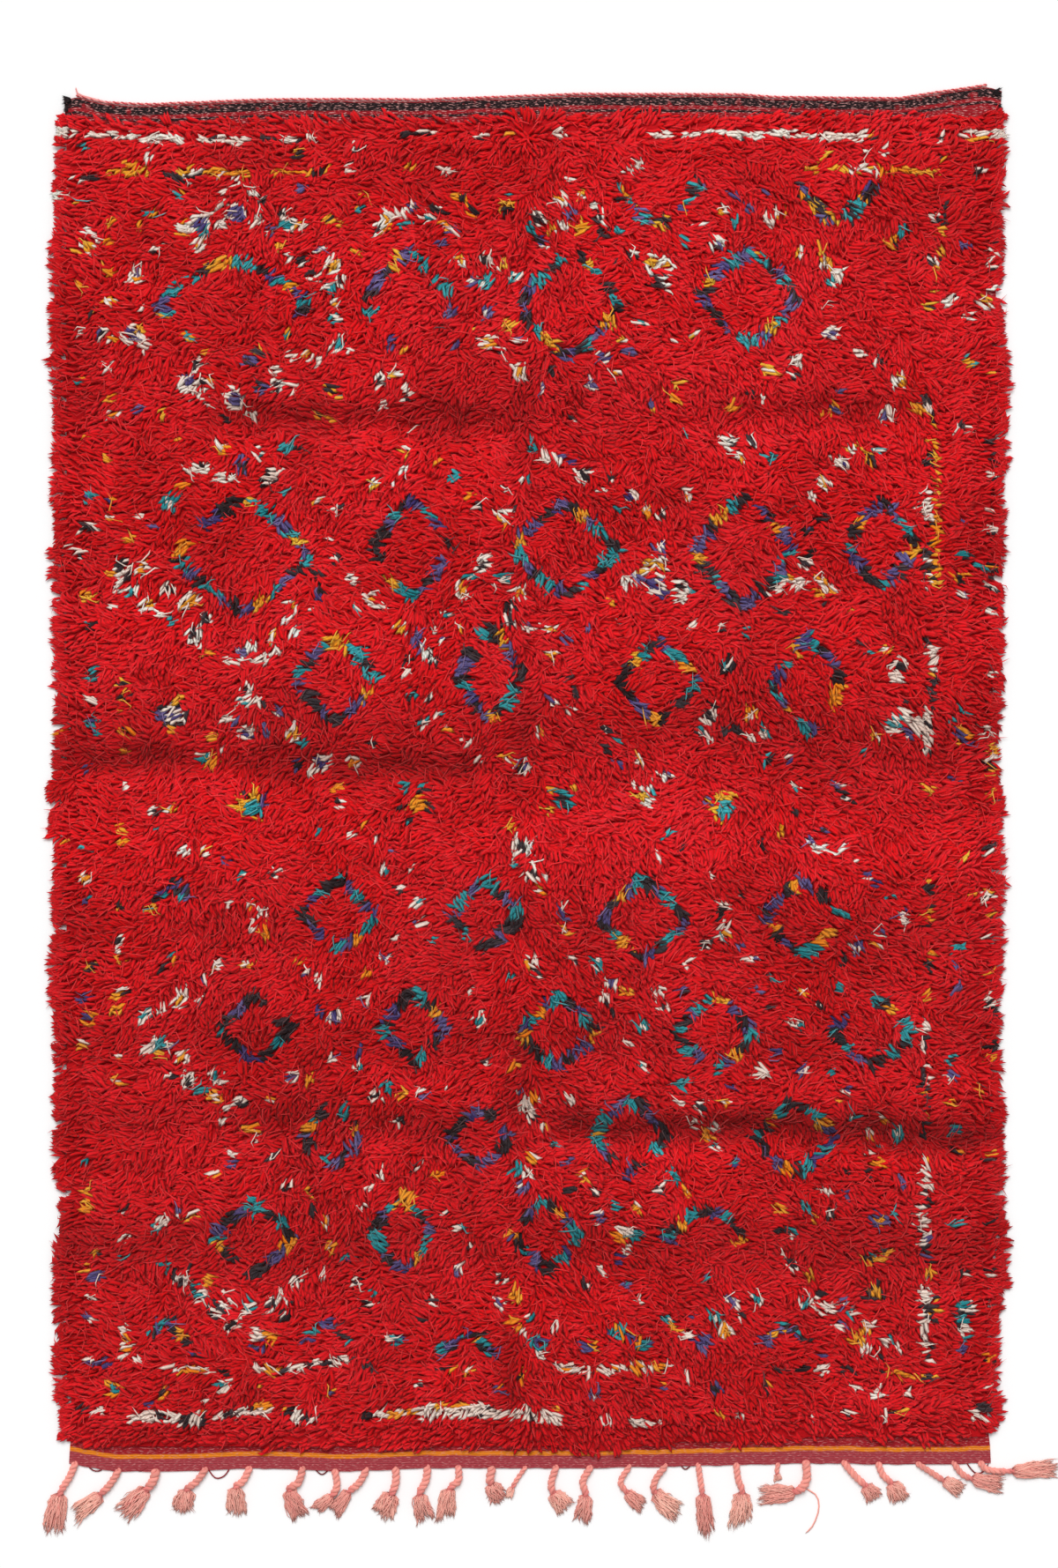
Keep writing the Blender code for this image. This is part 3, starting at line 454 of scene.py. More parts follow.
    (90, -44, 0.9, "V"), (94, -24.5, 1.0, "O"), (97, -25, 1.2, "IC"), (97, -33, 1.0, "IC"),
    (97, -46.5, 1.2, "IC"),
    # Round the fifth row
    (-68.5, -42, 1.0, "VI"), (-72.5, -44.5, 0.9, "I"), (-73.5, -46.5, 1.6, "IO"), (-69, -46.5, 1.0, "IT"),
    (-41, -50, 1.4, "IV"), (-44, -48.5, 0.9, "VI"), (-10.5, -50.5, 1.5, "IT"), (-85.5, -44.5, 1.1, "CI"),
    (-87, -45.5, 1.1, "O"), (-86.5, -48.5, 1.2, "O"), (-92.5, -39.5, 1.1, "CO"), (-93.5, -46, 1.3, "VT"),
    (-92.5, -50.5, 1.8, "OV"), (-94, -56.5, 1.3, "IO"), (-86, -58.5, 1.2, "OI"), (-86.5, -63.5, 1.3, "OI"),
    (-80, -49.5, 1.4, "TI"), (-77.5, -48.5, 1.0, "I"), (-81, -51, 0.9, "I"), (-77.5, -55.5, 1.9, "IT"),
    (-75, -56, 0.9, "IV"), (-80, -56.5, 1.0, "I"), (-78, -58, 1.2, "O"), (-72.5, -58.5, 1.5, "IO"),
    (-75.5, -62, 1.2, "CI"), (-71.5, -63, 2.0, "IC"), (-69.5, -65, 1.2, "T"), (-66.5, -62, 1.3, "TI"),
    (-65, -63.5, 1.2, "I"), (-41.5, -58.5, 1.0, "IV"), (-36, -57.5, 1.0, "V"), (-35.5, -60, 1.4, "IT"),
    (-49.5, -63, 1.2, "IV"), (-45.5, -63, 1.1, "O"), (-30, -64.5, 1.1, "T"), (-3, -60.5, 1.1, "O"),
    (-9, -59.5, 0.9, "IC"), (-17, -65, 0.8, "I"), (24, -52, 1.4, "TI"), (21, -55.5, 1.2, "TI"),
    (24.5, -60.5, 1.2, "TI"), (32.5, -64, 1.4, "TI"), (55, -51, 0.9, "IV"), (57, -51.5, 1.4, "IT"),
    (44.5, -57, 1.0, "VT"), (52, -58, 1.1, "V"), (57.5, -61.5, 1.5, "VI"), (63.5, -61.5, 1.0, "T"),
    (48.5, -62, 1.3, "I"), (43.5, -65, 1.0, "VI"), (67, -65, 1.4, "IV"), (89, -59, 1.5, "TC"),
    (89, -62.5, 1.4, "IV"), (95, -64.5, 1.2, "OC"),
    # Round the sixth row
    (-66, -67, 1.5, "OI"), (-63, -69, 0.9, "I"), (-60, -68, 1.5, "IC"), (-64, -71.5, 0.9, "I"),
    (-58.5, -74, 1.5, "O"), (-58, -76.5, 1.1, "I"), (-54, -67.5, 1.0, "OI"), (-54, -79.5, 1.1, "CI"),
    (-62.5, -79.5, 1.2, "I"), (-62.5, -81, 1.2, "V"), (-66.5, -83.5, 1.1, "OI"), (-32.5, -66.5, 1.5, "IC"),
    (-26.5, -66.5, 1.5, "OI"), (-22.5, -67, 1.3, "IV"), (-27, -71.5, 1.2, "IC"), (-23.5, -81.5, 0.9, "CI"),
    (-19, -83, 1.2, "O"), (-31.5, -83, 1.0, "IV"), (-33.5, -85.5, 0.9, "I"), (-35, -90, 1.1, "I"),
    (-51, -85.5, 1.2, "IC"), (-46, -86.5, 1.0, "OC"), (-46, -90.5, 0.9, "C"), (-43, -93, 1.0, "IO"),
    (1, -67, 1.5, "IO"), (-2.5, -66, 1.0, "VI"), (-1, -69.5, 1.7, "I"), (0.5, -71, 1.5, "IC"),
    (3, -73, 1.0, "OI"), (8.5, -67, 1.3, "I"), (5, -77, 0.9, "TC"), (8, -80.5, 0.9, "V"),
    (0.5, -80, 1.4, "IO"), (-3, -82.5, 1.5, "T"), (-0.5, -83, 1.2, "I"), (-1, -85.5, 1.3, "VI"),
    (11, -84, 1.4, "OI"), (8.5, -86.5, 0.9, "C"), (14.5, -86.5, 1.3, "CI"), (18, -89.5, 1.0, "TI"),
    (23, -90, 1.2, "OI"), (27, -86.5, 1.4, "CI"), (30.5, -84, 1.2, "T"), (33, -86.5, 0.9, "OI"),
    (36.5, -68.5, 1.6, "IC"), (41.5, -68, 1.2, "IO"), (32, -68, 1.0, "I"), (34.5, -72.5, 1.2, "I"),
    (37.5, -74.5, 1.6, "O"), (39, -73, 1.2, "I"), (39, -77.5, 1.3, "TI"), (42.5, -80.5, 1.0, "VT"),
    (53, -90.5, 1.1, "O"), (58, -90, 1.4, "T"), (60, -92, 0.9, "OI"), (63.5, -91, 0.9, "CI"),
    (62, -86.5, 1.3, "IC"), (66.5, -87.5, 1.0, "V"), (68, -71, 1.1, "TI"), (64.5, -67.5, 1.0, "O"),
    (74, -71.5, 1.2, "OI"), (71.5, -74.5, 1.4, "OI"), (77.5, -74.5, 1.3, "TI"), (74, -77, 1.2, "TI"),
    (71.5, -79, 1.2, "VI"), (74, -80.5, 1.4, "O"), (71.5, -83, 0.9, "CI"), (67, -83, 0.9, "CI"),
    (78.5, -85, 0.9, "V"), (89, -73.5, 1.4, "TV"), (89, -68, 1.0, "O"), (90, -78.5, 0.9, "OC"),
    (96.5, -80, 1.0, "IC"), (-93, -80, 0.7, "T"),
    # Round the last row
    (-41.5, -98, 1.2, "OI"), (-38.5, -100.5, 0.9, "TV"), (-49, -96, 1.0, "V"), (-85, -90.5, 1.0, "CI"),
    (-93, -90.5, 1.7, "O"), (-92.5, -87, 1.3, "OC"), (-78, -94, 1.2, "TI"), (-76.5, -92.5, 1.3, "I"),
    (-74, -90.5, 1.0, "IV"), (-71, -92, 1.2, "OI"), (-85, -96.5, 1.1, "IC"), (-90.5, -100, 1.1, "OC"),
    (-93, -103, 1.0, "O"), (-91, -105, 1.3, "VI"), (-85, -100.5, 0.9, "TC"), (-92, -109.5, 1.1, "IT"),
    (-76.5, -102.5, 1.1, "TC"), (-74.5, -104.5, 1.2, "IC"), (-72.5, -105.5, 1.5, "IC"),
    (-70, -107.5, 1.3, "TC"), (-71, -102.5, 0.8, "C"), (-67, -105.5, 1.5, "O"), (-68.5, -109, 1.4, "IT"),
    (-64, -108, 1.0, "I"), (-65.5, -112, 1.9, "CI"), (-63.5, -110.5, 1.2, "I"), (-62.5, -115, 1.6, "IC"),
    (-59, -111.5, 1.6, "TI"), (-60.5, -112.5, 1.0, "I"), (-54, -110.5, 1.3, "IC"), (-52, -108.5, 1.0, "I"),
    (-50, -109.5, 0.9, "IC"), (-51.5, -113, 1.1, "CI"), (-49, -105, 1.3, "IC"), (-43.5, -103.5, 0.8, "I"),
    (-57.5, -119, 1.6, "VC"), (-57, -117, 1.4, "I"), (-54.5, -118, 1.6, "O"), (-36, -105.5, 1.3, "IC"),
    (-32.5, -107.5, 1.0, "T"), (-34, -110, 1.4, "IC"), (-17.5, -91, 0.8, "CI"), (-14.5, -94.5, 1.2, "TI"),
    (-12.5, -98, 0.9, "CI"), (-15, -103.5, 1.3, "IV"), (-6, -105, 1.4, "IC"), (-2.5, -108.5, 1.4, "O"),
    (-6, -110.5, 1.2, "IV"), (-20.5, -110, 0.9, "IC"), (-28.5, -117.5, 1.2, "I"), (-27, -118, 1.3, "TV"),
    (-22.5, -114, 0.9, "TC"), (0.5, -112.5, 1.2, "TI"), (-2.5, -114.5, 1.5, "O"), (-1, -116, 1.1, "I"),
    (2, -118.5, 1.8, "TV"), (2, -120.5, 1.0, "I"), (5.5, -115.5, 1.1, "I"), (15, -92.5, 1.5, "IV"),
    (18.5, -96, 1.5, "O"), (20.5, -95, 1.6, "I"), (22.5, -96, 1.4, "T"), (20, -99, 1.2, "I"),
    (19, -101, 1.1, "VI"), (14.5, -103.5, 1.4, "IO"), (12, -106, 1.2, "CI"), (20.5, -106.5, 1.2, "VT"),
    (36.5, -105, 0.9, "TV"), (53, -95.5, 1.3, "CI"), (55.5, -96, 1.2, "TI"), (53.5, -99.5, 1.0, "I"),
    (55.5, -102, 1.3, "IC"), (59, -104, 1.2, "O"), (73.5, -93, 2.0, "VO"), (76.5, -91.5, 0.9, "T"),
    (73, -108, 2.0, "CTO"), (23.5, -109.5, 0.9, "I"), (29, -113.5, 1.2, "TI"), (30.5, -115.5, 1.1, "O"),
    (33, -117.5, 1.1, "I"), (34.5, -113, 0.9, "V"), (36.5, -118.5, 2.0, "V"), (41, -116, 1.7, "IO"),
    (39, -113, 1.3, "TI"), (42.5, -110, 1.6, "IV"), (44.5, -112.5, 1.1, "IC"), (48, -109.5, 1.6, "IT"),
    (58.5, -110, 1.8, "IT"), (61.5, -108.5, 1.2, "IC"), (62.5, -111.5, 1.7, "I"), (65.5, -110.5, 1.1, "VI"),
    (68, -112.5, 1.4, "TI"), (65.5, -115, 1.2, "IV"), (71.5, -115, 1.6, "OI"), (69, -118, 1.6, "O"),
    (70.5, -119.5, 1.3, "I"), (75, -118, 1.4, "TI"), (77.5, -119.5, 0.8, "I"), (73.5, -121, 0.9, "IC"),
    (61.5, -121.5, 0.9, "V"), (61.5, -124.5, 1.2, "I"), (90, -93.5, 1.4, "TC"), (96.5, -93.5, 1.2, "CI"),
    (91.5, -104.5, 0.8, "CI"), (91.5, -111, 2.0, "IT"), (91.5, -113.5, 1.8, "CT"), (91.5, -115.5, 1.5, "I"),
    (91.5, -118.5, 1.3, "T"), (91, -120.5, 1.2, "V"), (-92, -114, 1.1, "VI"), (-82, -122.5, 0.8, "I"),
    # Between the dashed lines at the foot, and beside those at the head
    (96, -122, 1.0, "O"), (96, -128, 1.0, "I"), (95.5, -132.5, 1.5, "C"), (94.5, -134.5, 1.8, "I"),
    (-87, -128.5, 1.6, "OT"), (-76.5, -129, 1.2, "OC"), (-80, -131.5, 0.8, "V"), (-64.5, -127.5, 1.6, "IT"),
    (-68.5, -131, 1.0, "I"), (-57.5, -128, 1.1, "O"), (-41.5, -129, 1.2, "OV"), (-32, -128, 1.2, "IC"),
    (-23, -127.5, 1.2, "IC"), (-12.5, -124.5, 1.0, "OI"), (-6, -128, 1.1, "VO"), (-1.5, -126, 1.2, "OC"),
    (14, -129.5, 1.3, "VI"), (28, -127.5, 1.1, "VO"), (39.5, -128.5, 1.2, "VC"), (33.5, -125.5, 0.9, "I"),
    (50, -127.5, 1.0, "CO"), (69, -128.5, 0.9, "IC"), (73, -129.5, 1.3, "IV"), (80, -129.5, 1.0, "I"),
    (5.5, -132, 1.0, "O"), (67, -133.5, 0.8, "CI"), (75.5, -133.5, 1.0, "IC"), (78.5, -133, 1.1, "OI"),
    (-93.5, 133, 1.2, "CT"), (-80, 131.5, 1.2, "I"), (-49, 132, 1.4, "CO"), (-36, 132.5, 1.1, "IC"),
    (-95, 121.5, 0.9, "TO"), (-99, 123.5, 1.0, "I"), (87, 130, 1.0, "CO"), (-84.5, 128.5, 1.6, "O"),
    (-37.5, 128.5, 0.9, "I"), (-25, 129, 1.0, "O"), (-4.5, 135.5, 1.0, "IO"), (6.5, 136, 1.2, "IO"),
    (72, 135, 0.9, "CO"), (82, 135.5, 1.0, "OC"), (86.5, 135, 1.3, "IC"),
)

# Broken lines of knots: along the head and the foot, and down the right side
BORDERS = (
    Stroke("IIIIC", 1.6, 0.95, ((-100, 136.5), (-92, 135.5), (-85, 135.5), (-75, 134.5), (-61, 134.5))),
    Stroke("IIC", 1.2, 0.70, ((-61, 134.5), (-44, 135), (-32, 135))),
    Stroke("CI", 1.0, 0.60, ((-27, 136), (-20, 136))),
    Stroke("IC", 1.1, 0.50, ((-11, 135.5), (2, 135.5))),
    Stroke("IIIIC", 1.5, 0.90, ((23, 135.5), (39, 136), (60, 135.5))),
    Stroke("I", 1.7, 1.00, ((61, 135), (69, 135), (70, 136.5))),
    Stroke("IIC", 1.5, 0.90, ((91, 136), (100, 136))),
    Stroke("O", 1.1, 0.95, ((92, 134.5), (97, 134.5))),
    Stroke("CI", 1.0, 0.70, ((-96, 126.5), (-90, 126.5))),
    Stroke("O", 1.2, 0.85, ((-88, 128), (-80, 128))),
    Stroke("IC", 1.3, 0.85, ((-76, 127), (-70, 127))),
    Stroke("OOOI", 1.6, 0.95, ((-73, 128), (-59, 127.5))),
    Stroke("OC", 1.2, 0.80, ((-53, 128), (-43, 128))),
    Stroke("CI", 1.0, 0.70, ((-19, 128), (-15, 128))),
    Stroke("I", 1.2, 0.90, ((20, 128), (24, 129.5))),
    Stroke("IO", 1.1, 0.70, ((47, 126.5), (54, 128.5), (68, 128.5), (80, 128))),
    Stroke("O", 1.2, 0.85, ((74, 128), (86, 128))),
    Stroke("OC", 1.0, 0.60, ((88, 126), (87, 118), (86, 107), (85, 103), (84, 97))),
    Stroke("OC", 1.1, 0.75, ((85, 77), (85, 65))),
    Stroke("C", 0.9, 0.70, ((84, 70), (84, 40))),
    Stroke("IIC", 1.7, 0.95, ((83.5, 61), (83.5, 54))),
    Stroke("IIC", 1.7, 0.90, ((83.5, 48), (83.5, 40))),
    Stroke("O", 1.0, 0.80, ((85.5, 67), (85.5, 40))),
    Stroke("IICO", 1.5, 0.80, ((84, 30), (85, 24), (85, 21))),
    Stroke("C", 1.1, 0.90, ((84.5, 19), (84.5, 14))),
    Stroke("IIIC", 1.6, 0.95, ((83.5, 14), (83.5, 6))),
    Stroke("IICO", 1.4, 0.60, ((83.5, 3), (84.5, -3), (83, -7))),
    Stroke("COC", 1.0, 0.60, ((84, -22), (84, -46))),
    Stroke("IIC", 1.4, 0.95, ((83, -51), (83, -57))),
    Stroke("OCI", 1.2, 0.90, ((83.5, -58), (83, -64))),
    Stroke("OC", 1.0, 0.80, ((83.5, -65), (83.5, -75))),
    Stroke("ICIO", 1.4, 0.90, ((83.5, -80), (83.5, -90))),
    Stroke("IIC", 1.8, 0.95, ((82.5, -90), (82.5, -95))),
    Stroke("IVCO", 1.4, 0.90, ((83.5, -96), (84.5, -105))),
    Stroke("IIIC", 1.9, 0.98, ((83.5, -106), (83.5, -122))),
    Stroke("OC", 1.0, 0.70, ((85.5, -106), (85.5, -114))),
    Stroke("OC", 1.1, 0.80, ((75, -125), (85, -125.5))),
    Stroke("OIC", 1.7, 0.95, ((-85, -115), (-85, -121))),
    Stroke("IIV", 1.3, 0.95, ((-95, -122), (-88, -123))),
    Stroke("IICO", 1.4, 0.90, ((-76, -124), (-63, -124.5))),
    Stroke("O", 1.0, 0.80, ((-73, -125), (-68, -125))),
    Stroke("CIO", 1.3, 0.90, ((-57, -124.5), (-45, -123.5))),
    Stroke("IIC", 1.7, 0.95, ((-44, -123), (-38, -122.5), (-33, -123.5))),
    Stroke("CO", 1.0, 0.70, ((-21, -123.5), (-16, -124))),
    Stroke("IIOC", 1.5, 0.95, ((6, -123.5), (11, -124.5), (18, -124.5), (29, -123.5))),
    Stroke("OC", 0.9, 0.45, ((50, -124), (72, -124.5))),
    Stroke("CI", 1.4, 0.80, ((-98, -132.5), (-88, -133.5))),
    Stroke("IIC", 2.1, 0.98, ((-83, -134), (-76, -134.5), (-69, -135))),
    Stroke("O", 1.0, 0.90, ((-72, -133), (-68, -133))),
    Stroke("IIC", 1.9, 0.98, ((-66, -134.5), (-60, -133), (-54, -133), (-45, -134.5))),
    Stroke("O", 1.0, 0.90, ((-57, -132), (-51, -132))),
    Stroke("IC", 1.5, 0.95, ((-37, -134.5), (-33, -133.5))),
    Stroke("CIO", 1.5, 0.90, ((-32, -134), (-23, -133))),
    Stroke("IIIC", 2.2, 1.00, ((-22, -133), (-14, -132.5), (-6, -133.5), (-1, -133.5), (6, -134.5))),
    Stroke("O", 1.0, 0.95, ((-19, -132), (-13, -131.5))),
    Stroke("I", 1.0, 0.80, ((14, -135.5), (17, -135.5))),
    Stroke("I", 1.4, 0.90, ((22, -135), (28, -135))),
    Stroke("IO", 1.0, 0.45, ((36, -133.5), (60, -133.5))),
    Stroke("ICO", 1.0, 0.30, ((97.5, 120), (97.5, -128))),
)


@dataclass(frozen=True)
class Chart:
    """The rug's pattern in knots, read at any place of the pile."""

    outline_width: float = 1.75
    cluster: float = 2.3
    block_share: float = 0.92
    heart_share: float = 0.6
    warp: float = 0.45
    warp_across: float = 2.6
    roundness: float = 1.25
    spot: float = 1.3
    reach: float = 3.0

    def pick(self, mix: str, draws: np.ndarray) -> np.ndarray:
        """Picks a yarn from a mix for each draw.

        Args:
            mix: Yarn letters.
            draws: Values from 0 to 1.

        Returns:
            Indexes into YARNS.
        """
        letters = np.array([YARNS.index(Yarn(letter)) for letter in mix])
        return letters[np.minimum((draws * len(letters)).astype(int), len(letters) - 1)]

    def outline(self, lozenge: Lozenge, number: int, x: np.ndarray, y: np.ndarray) -> np.ndarray:
        """Knots one lozenge's outline in clusters of jewel yarns.

        Args:
            lozenge: The lozenge.
            number: Its place in the table, which sets its draws apart.
            x: Places in knots.
            y: Places in knots.

        Returns:
            Indexes into YARNS, or -1 where the lozenge has no knot.
        """
        u = (x - lozenge.x) / lozenge.half_width
        v = (y - lozenge.y) / lozenge.half_height
        ring = (np.abs(u) ** self.roundness + np.abs(v) ** self.roundness) ** (1 / self.roundness)
        side = math.hypot(lozenge.half_width, lozenge.half_height)
        off = np.abs(ring - 1) * lozenge.half_width * lozenge.half_height / side
        cell = np.floor(np.arctan2(v, u) / (2 * math.pi) * 4 * side / self.cluster)
        whole = np.full_like(cell, number)
        order = (cell + 2 * number + np.floor(cell_draw(cell, whole, 31) * 1.6)) % len(JEWEL)
        yarn = self.pick(JEWEL, (order + 0.5) / len(JEWEL))
        thick = self.outline_width / 2 * (0.85 + 0.4 * cell_draw(cell, whole, 33))
        kept = cell_draw(cell, whole, 32) >= lozenge.broken
        # The open side's value is 0 for a closed lozenge, which keeps all of it
        kept &= lozenge.open_side.value * v < 0.25
        return np.where((off < thick) & kept, yarn, -1)

    def line(self, stroke: Stroke, number: int, x: np.ndarray, y: np.ndarray) -> np.ndarray:
        """Knots one stroke, broken into clusters along it.

        Args:
            stroke: The stroke.
            number: Its place in the tables, which sets its draws apart.
            x: Places in knots.
            y: Places in knots.

        Returns:
            Indexes into YARNS, or -1 where the stroke has no knot.
        """
        nearest, along, run = np.full_like(x, np.inf), np.zeros_like(x), 0.0
        for (ax, ay), (bx, by) in zip(stroke.points, stroke.points[1:]):
            length = math.hypot(bx - ax, by - ay)
            t = np.clip(((x - ax) * (bx - ax) + (y - ay) * (by - ay)) / length**2, 0, 1)
            gap = np.hypot(x - ax - t * (bx - ax), y - ay - t * (by - ay))
            along = np.where(gap < nearest, run + t * length, along)
            nearest = np.minimum(gap, nearest)
            run += length
        cell = np.floor(along / self.cluster)
        whole = np.full_like(cell, number)
        thick = stroke.width / 2 * (0.7 + 0.6 * cell_draw(cell, whole, 41))
        kept = cell_draw(cell, whole, 42) < stroke.kept
        spot = cell_draw(np.floor(x / self.spot), np.floor(y / self.spot), 43 + number)
        yarn = self.pick(stroke.mix, 0.6 * cell_draw(cell, whole, 44) + 0.4 * spot)
        return np.where((nearest < thick) & kept, yarn, -1)

    def block(self, block: Block, number: int, x: np.ndarray, y: np.ndarray) -> np.ndarray:
        """Knots one block: a ragged spot of its other yarns with its first yarn round them.

        Args:
            block: The block.
            number: Its place in the table, which sets its draws apart.
            x: Places in knots.
            y: Places in knots.

        Returns:
            Indexes into YARNS, or -1 where the block has no knot.
        """
        spots = cell_draw(np.floor(x / self.spot), np.floor(y / self.spot), 200 + number)
        gap = np.hypot(x - block.x, y - block.y) / (block.size * self.block_share)
        heart = self.pick(block.yarns[1:] or block.yarns, spots)
        rim = self.pick(block.yarns[0], spots)
        return np.where(gap < 0.8 + 0.4 * spots, np.where(gap < self.heart_share, heart, rim), -1)

    def knots(self, x: np.ndarray, y: np.ndarray) -> np.ndarray:
        """Reads the yarn of each place of the pile.

        Args:
            x: Places across the rug, in metres.
            y: Places along it, in metres.

        Returns:
            Indexes into YARNS.
        """
        shift_x = drift(x / KNOT, y / KNOT, self.warp_across, 51) * self.warp
        shift_y = drift(x / KNOT, y / KNOT, self.warp_across, 52) * self.warp
        x, y = x / KNOT + shift_x, y / KNOT + shift_y
        yarn = np.full(x.shape, YARNS.index(Yarn.RED))

        def lay(found: Callable[..., np.ndarray], low: Sequence[float], high: Sequence[float]) -> None:
            """Lays one figure's knots over what lies there, in its own box only.

            Args:
                found: Gives the figure's yarns at places in knots.
                low: The box's low corner.
                high: The box's high corner.
            """
            near = (x > low[0]) & (x < high[0]) & (y > low[1]) & (y < high[1])
            part = found(x[near], y[near])
            yarn[near] = np.where(part >= 0, part, yarn[near])

        for number, stroke in enumerate(BORDERS + JEWEL_STROKES):
            spots = np.array(stroke.points)
            low, high = spots.min(0) - self.reach, spots.max(0) + self.reach
            lay(lambda a, b, s=stroke, n=number: self.line(s, n, a, b), low, high)
        for number, block in enumerate(Block(*row) for row in BLOCK_ROWS):
            middle, span = np.array((block.x, block.y)), 1.5 * block.size
            lay(lambda a, b, k=block, n=number: self.block(k, n, a, b), middle - span, middle + span)
        for number, lozenge in enumerate(LOZENGES):
            span = np.array((lozenge.half_width, lozenge.half_height)) + self.reach
            middle = np.array((lozenge.x, lozenge.y))
            lay(lambda a, b, z=lozenge, n=number: self.outline(z, n, a, b), middle - span, middle + span)
        return yarn


def add_node(
    tree: bpy.types.NodeTree, kind: str, inputs: dict | None = None, **settings: object
) -> bpy.types.Node:
    """Adds a shader node with its settings, values and links.

    Args:
        tree: The material's node tree.
        kind: The shader node's type, without its common beginning.
        inputs: For each socket, by name or number, a value or a socket to link from.
        settings: The node's own properties.

    Returns:
        The new node.
    """
    node = tree.nodes.new("ShaderNode" + kind)
    for name, value in settings.items():
        setattr(node, name, value)
    for socket, value in (inputs or {}).items():
        if isinstance(value, bpy.types.NodeSocket):
            tree.links.new(value, node.inputs[socket])
        else:
            node.inputs[socket].default_value = value
    return node


def rgba(hex_colour: str) -> tuple[float, ...]:
    """A hex colour as linear red, green, blue and a full alpha."""
    return (*linear(hex_colour), 1.0)


def begin_material(name: str, rough: float, sheen: float, tint: str) -> tuple:
    """Starts a wool material.

    Args:
        name: The material's name.
        rough: Its roughness.
        sheen: How strong its fuzz catches the light.
        tint: The fuzz's colour, as hex.

    Returns:
        The material, its node tree and its shader node.
    """
    material = bpy.data.materials.new(name)
    material.use_nodes = True
    tree = material.node_tree
    shader = tree.nodes["Principled BSDF"]
    shader.inputs["Roughness"].default_value = rough
    shader.inputs["Specular IOR Level"].default_value = 0.14
    shader.inputs["Sheen Weight"].default_value = sheen
    shader.inputs["Sheen Roughness"].default_value = 0.45
    shader.inputs["Sheen Tint"].default_value = rgba(tint)
    return material, tree, shader


def finish_material(
    tree: bpy.types.NodeTree, shader: bpy.types.Node, colour: bpy.types.NodeSocket, relief: dict
) -> None:
    """Links a colour and a bump to a shader.

    Args:
        tree: The material's node tree.
        shader: Its shader node.
        colour: The colour's socket.
        relief: The bump node's inputs.
    """
    tree.links.new(colour, shader.inputs["Base Color"])
    bump = add_node(tree, "Bump", relief)
    tree.links.new(bump.outputs[0], shader.inputs["Normal"])


@dataclass(frozen=True)
class SpunWool:
    """Hand-spun wool yarn: its dye wanders a little, and its fibres run along it as fine streaks."""

    name: str
    rough: float = 0.9
    sheen: float = 0.12
    sheen_tint: str = "FFB4A8"
    root_shade: float = 0.75
    root_reach: float = 0.4
    streak_mm: float = 1.8
    streak_long_mm: float = 18.0
    streak_depth_mm: float = 0.8
    streak_contrast: float = 0.2
    soak: float = 0.0
    soak_mm: float = 4.5

    def material(self) -> bpy.types.Material:
        """Builds the material from the yarn's own colour and fibre attributes.

        Returns:
            The material.
        """
        material, tree, shader = begin_material(self.name, self.rough, self.sheen, self.sheen_tint)
        # Light soaks a little way into loose wool, which softens the shadows between the strands
        shader.inputs["Subsurface Weight"].default_value = self.soak
        shader.inputs["Subsurface Radius"].default_value = (1.0, 0.85, 0.8)
        shader.inputs["Subsurface Scale"].default_value = self.soak_mm / 1000
        yarn, strand, fibre = (
            add_node(tree, "Attribute", attribute_name=name) for name in ("yarn", "strand", "fibre")
        )
        parts = add_node(tree, "SeparateXYZ", {0: strand.outputs["Vector"]})
        # Light hardly reaches the root of a lock, so it shows darker there
        reach = {"Value": parts.outputs["X"], "From Max": self.root_reach, "To Min": self.root_shade}
        depth = add_node(tree, "MapRange", reach, interpolation_type="SMOOTHSTEP")
        along, thick = 1000 / self.streak_long_mm, 1000 / self.streak_mm
        scale = {0: fibre.outputs["Vector"], 1: (along, thick, thick)}
        stretched = add_node(tree, "VectorMath", scale, operation="MULTIPLY")
        streaks = add_node(tree, "TexNoise", {"Vector": stretched.outputs[0], "Scale": 1.0, "Detail": 2.0})
        span = {"To Min": 1 - self.streak_contrast, "To Max": 1 + self.streak_contrast}
        grey = {"Value": streaks.outputs["Fac"], "From Min": 0.3, "From Max": 0.7}
        tone = add_node(tree, "MapRange", {**grey, **span})
        both = add_node(tree, "Math", {0: depth.outputs[0], 1: tone.outputs[0]}, operation="MULTIPLY")
        dyed = {0: yarn.outputs["Color"], "Scale": both.outputs[0]}
        lit = add_node(tree, "VectorMath", dyed, operation="SCALE")
        relief = {"Height": streaks.outputs["Fac"], "Strength": 0.6, "Distance": self.streak_depth_mm / 1000}
        finish_material(tree, shader, lit.outputs[0], relief)
        return material


@dataclass(frozen=True)
class KnotBed:
    """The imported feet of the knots: deep red wool that hardly any light reaches."""

    dark: str = "A0080E"
    light: str = "C8101A"
    lump_mm: float = 7.0
    lump_depth_mm: float = 3.0

    def material(self) -> bpy.types.Material:
        """Builds the material from Object coordinates.

        Returns:
            The material.
        """
        material, tree, shader = begin_material("knotted wool feet", 0.95, 0.15, "FF9C90")
        place = add_node(tree, "TexCoord")
        grain = {"Vector": place.outputs["Object"], "Scale": 1000 / self.lump_mm, "Detail": 3.0}
        lumps = add_node(tree, "TexNoise", grain)
        tones = {0: lumps.outputs["Fac"], 6: rgba(self.dark), 7: rgba(self.light)}
        blend = add_node(tree, "Mix", tones, data_type="RGBA")
        relief = {"Height": lumps.outputs["Fac"], "Distance": self.lump_depth_mm / 1000}
        finish_material(tree, shader, blend.outputs[2], relief)
        return material


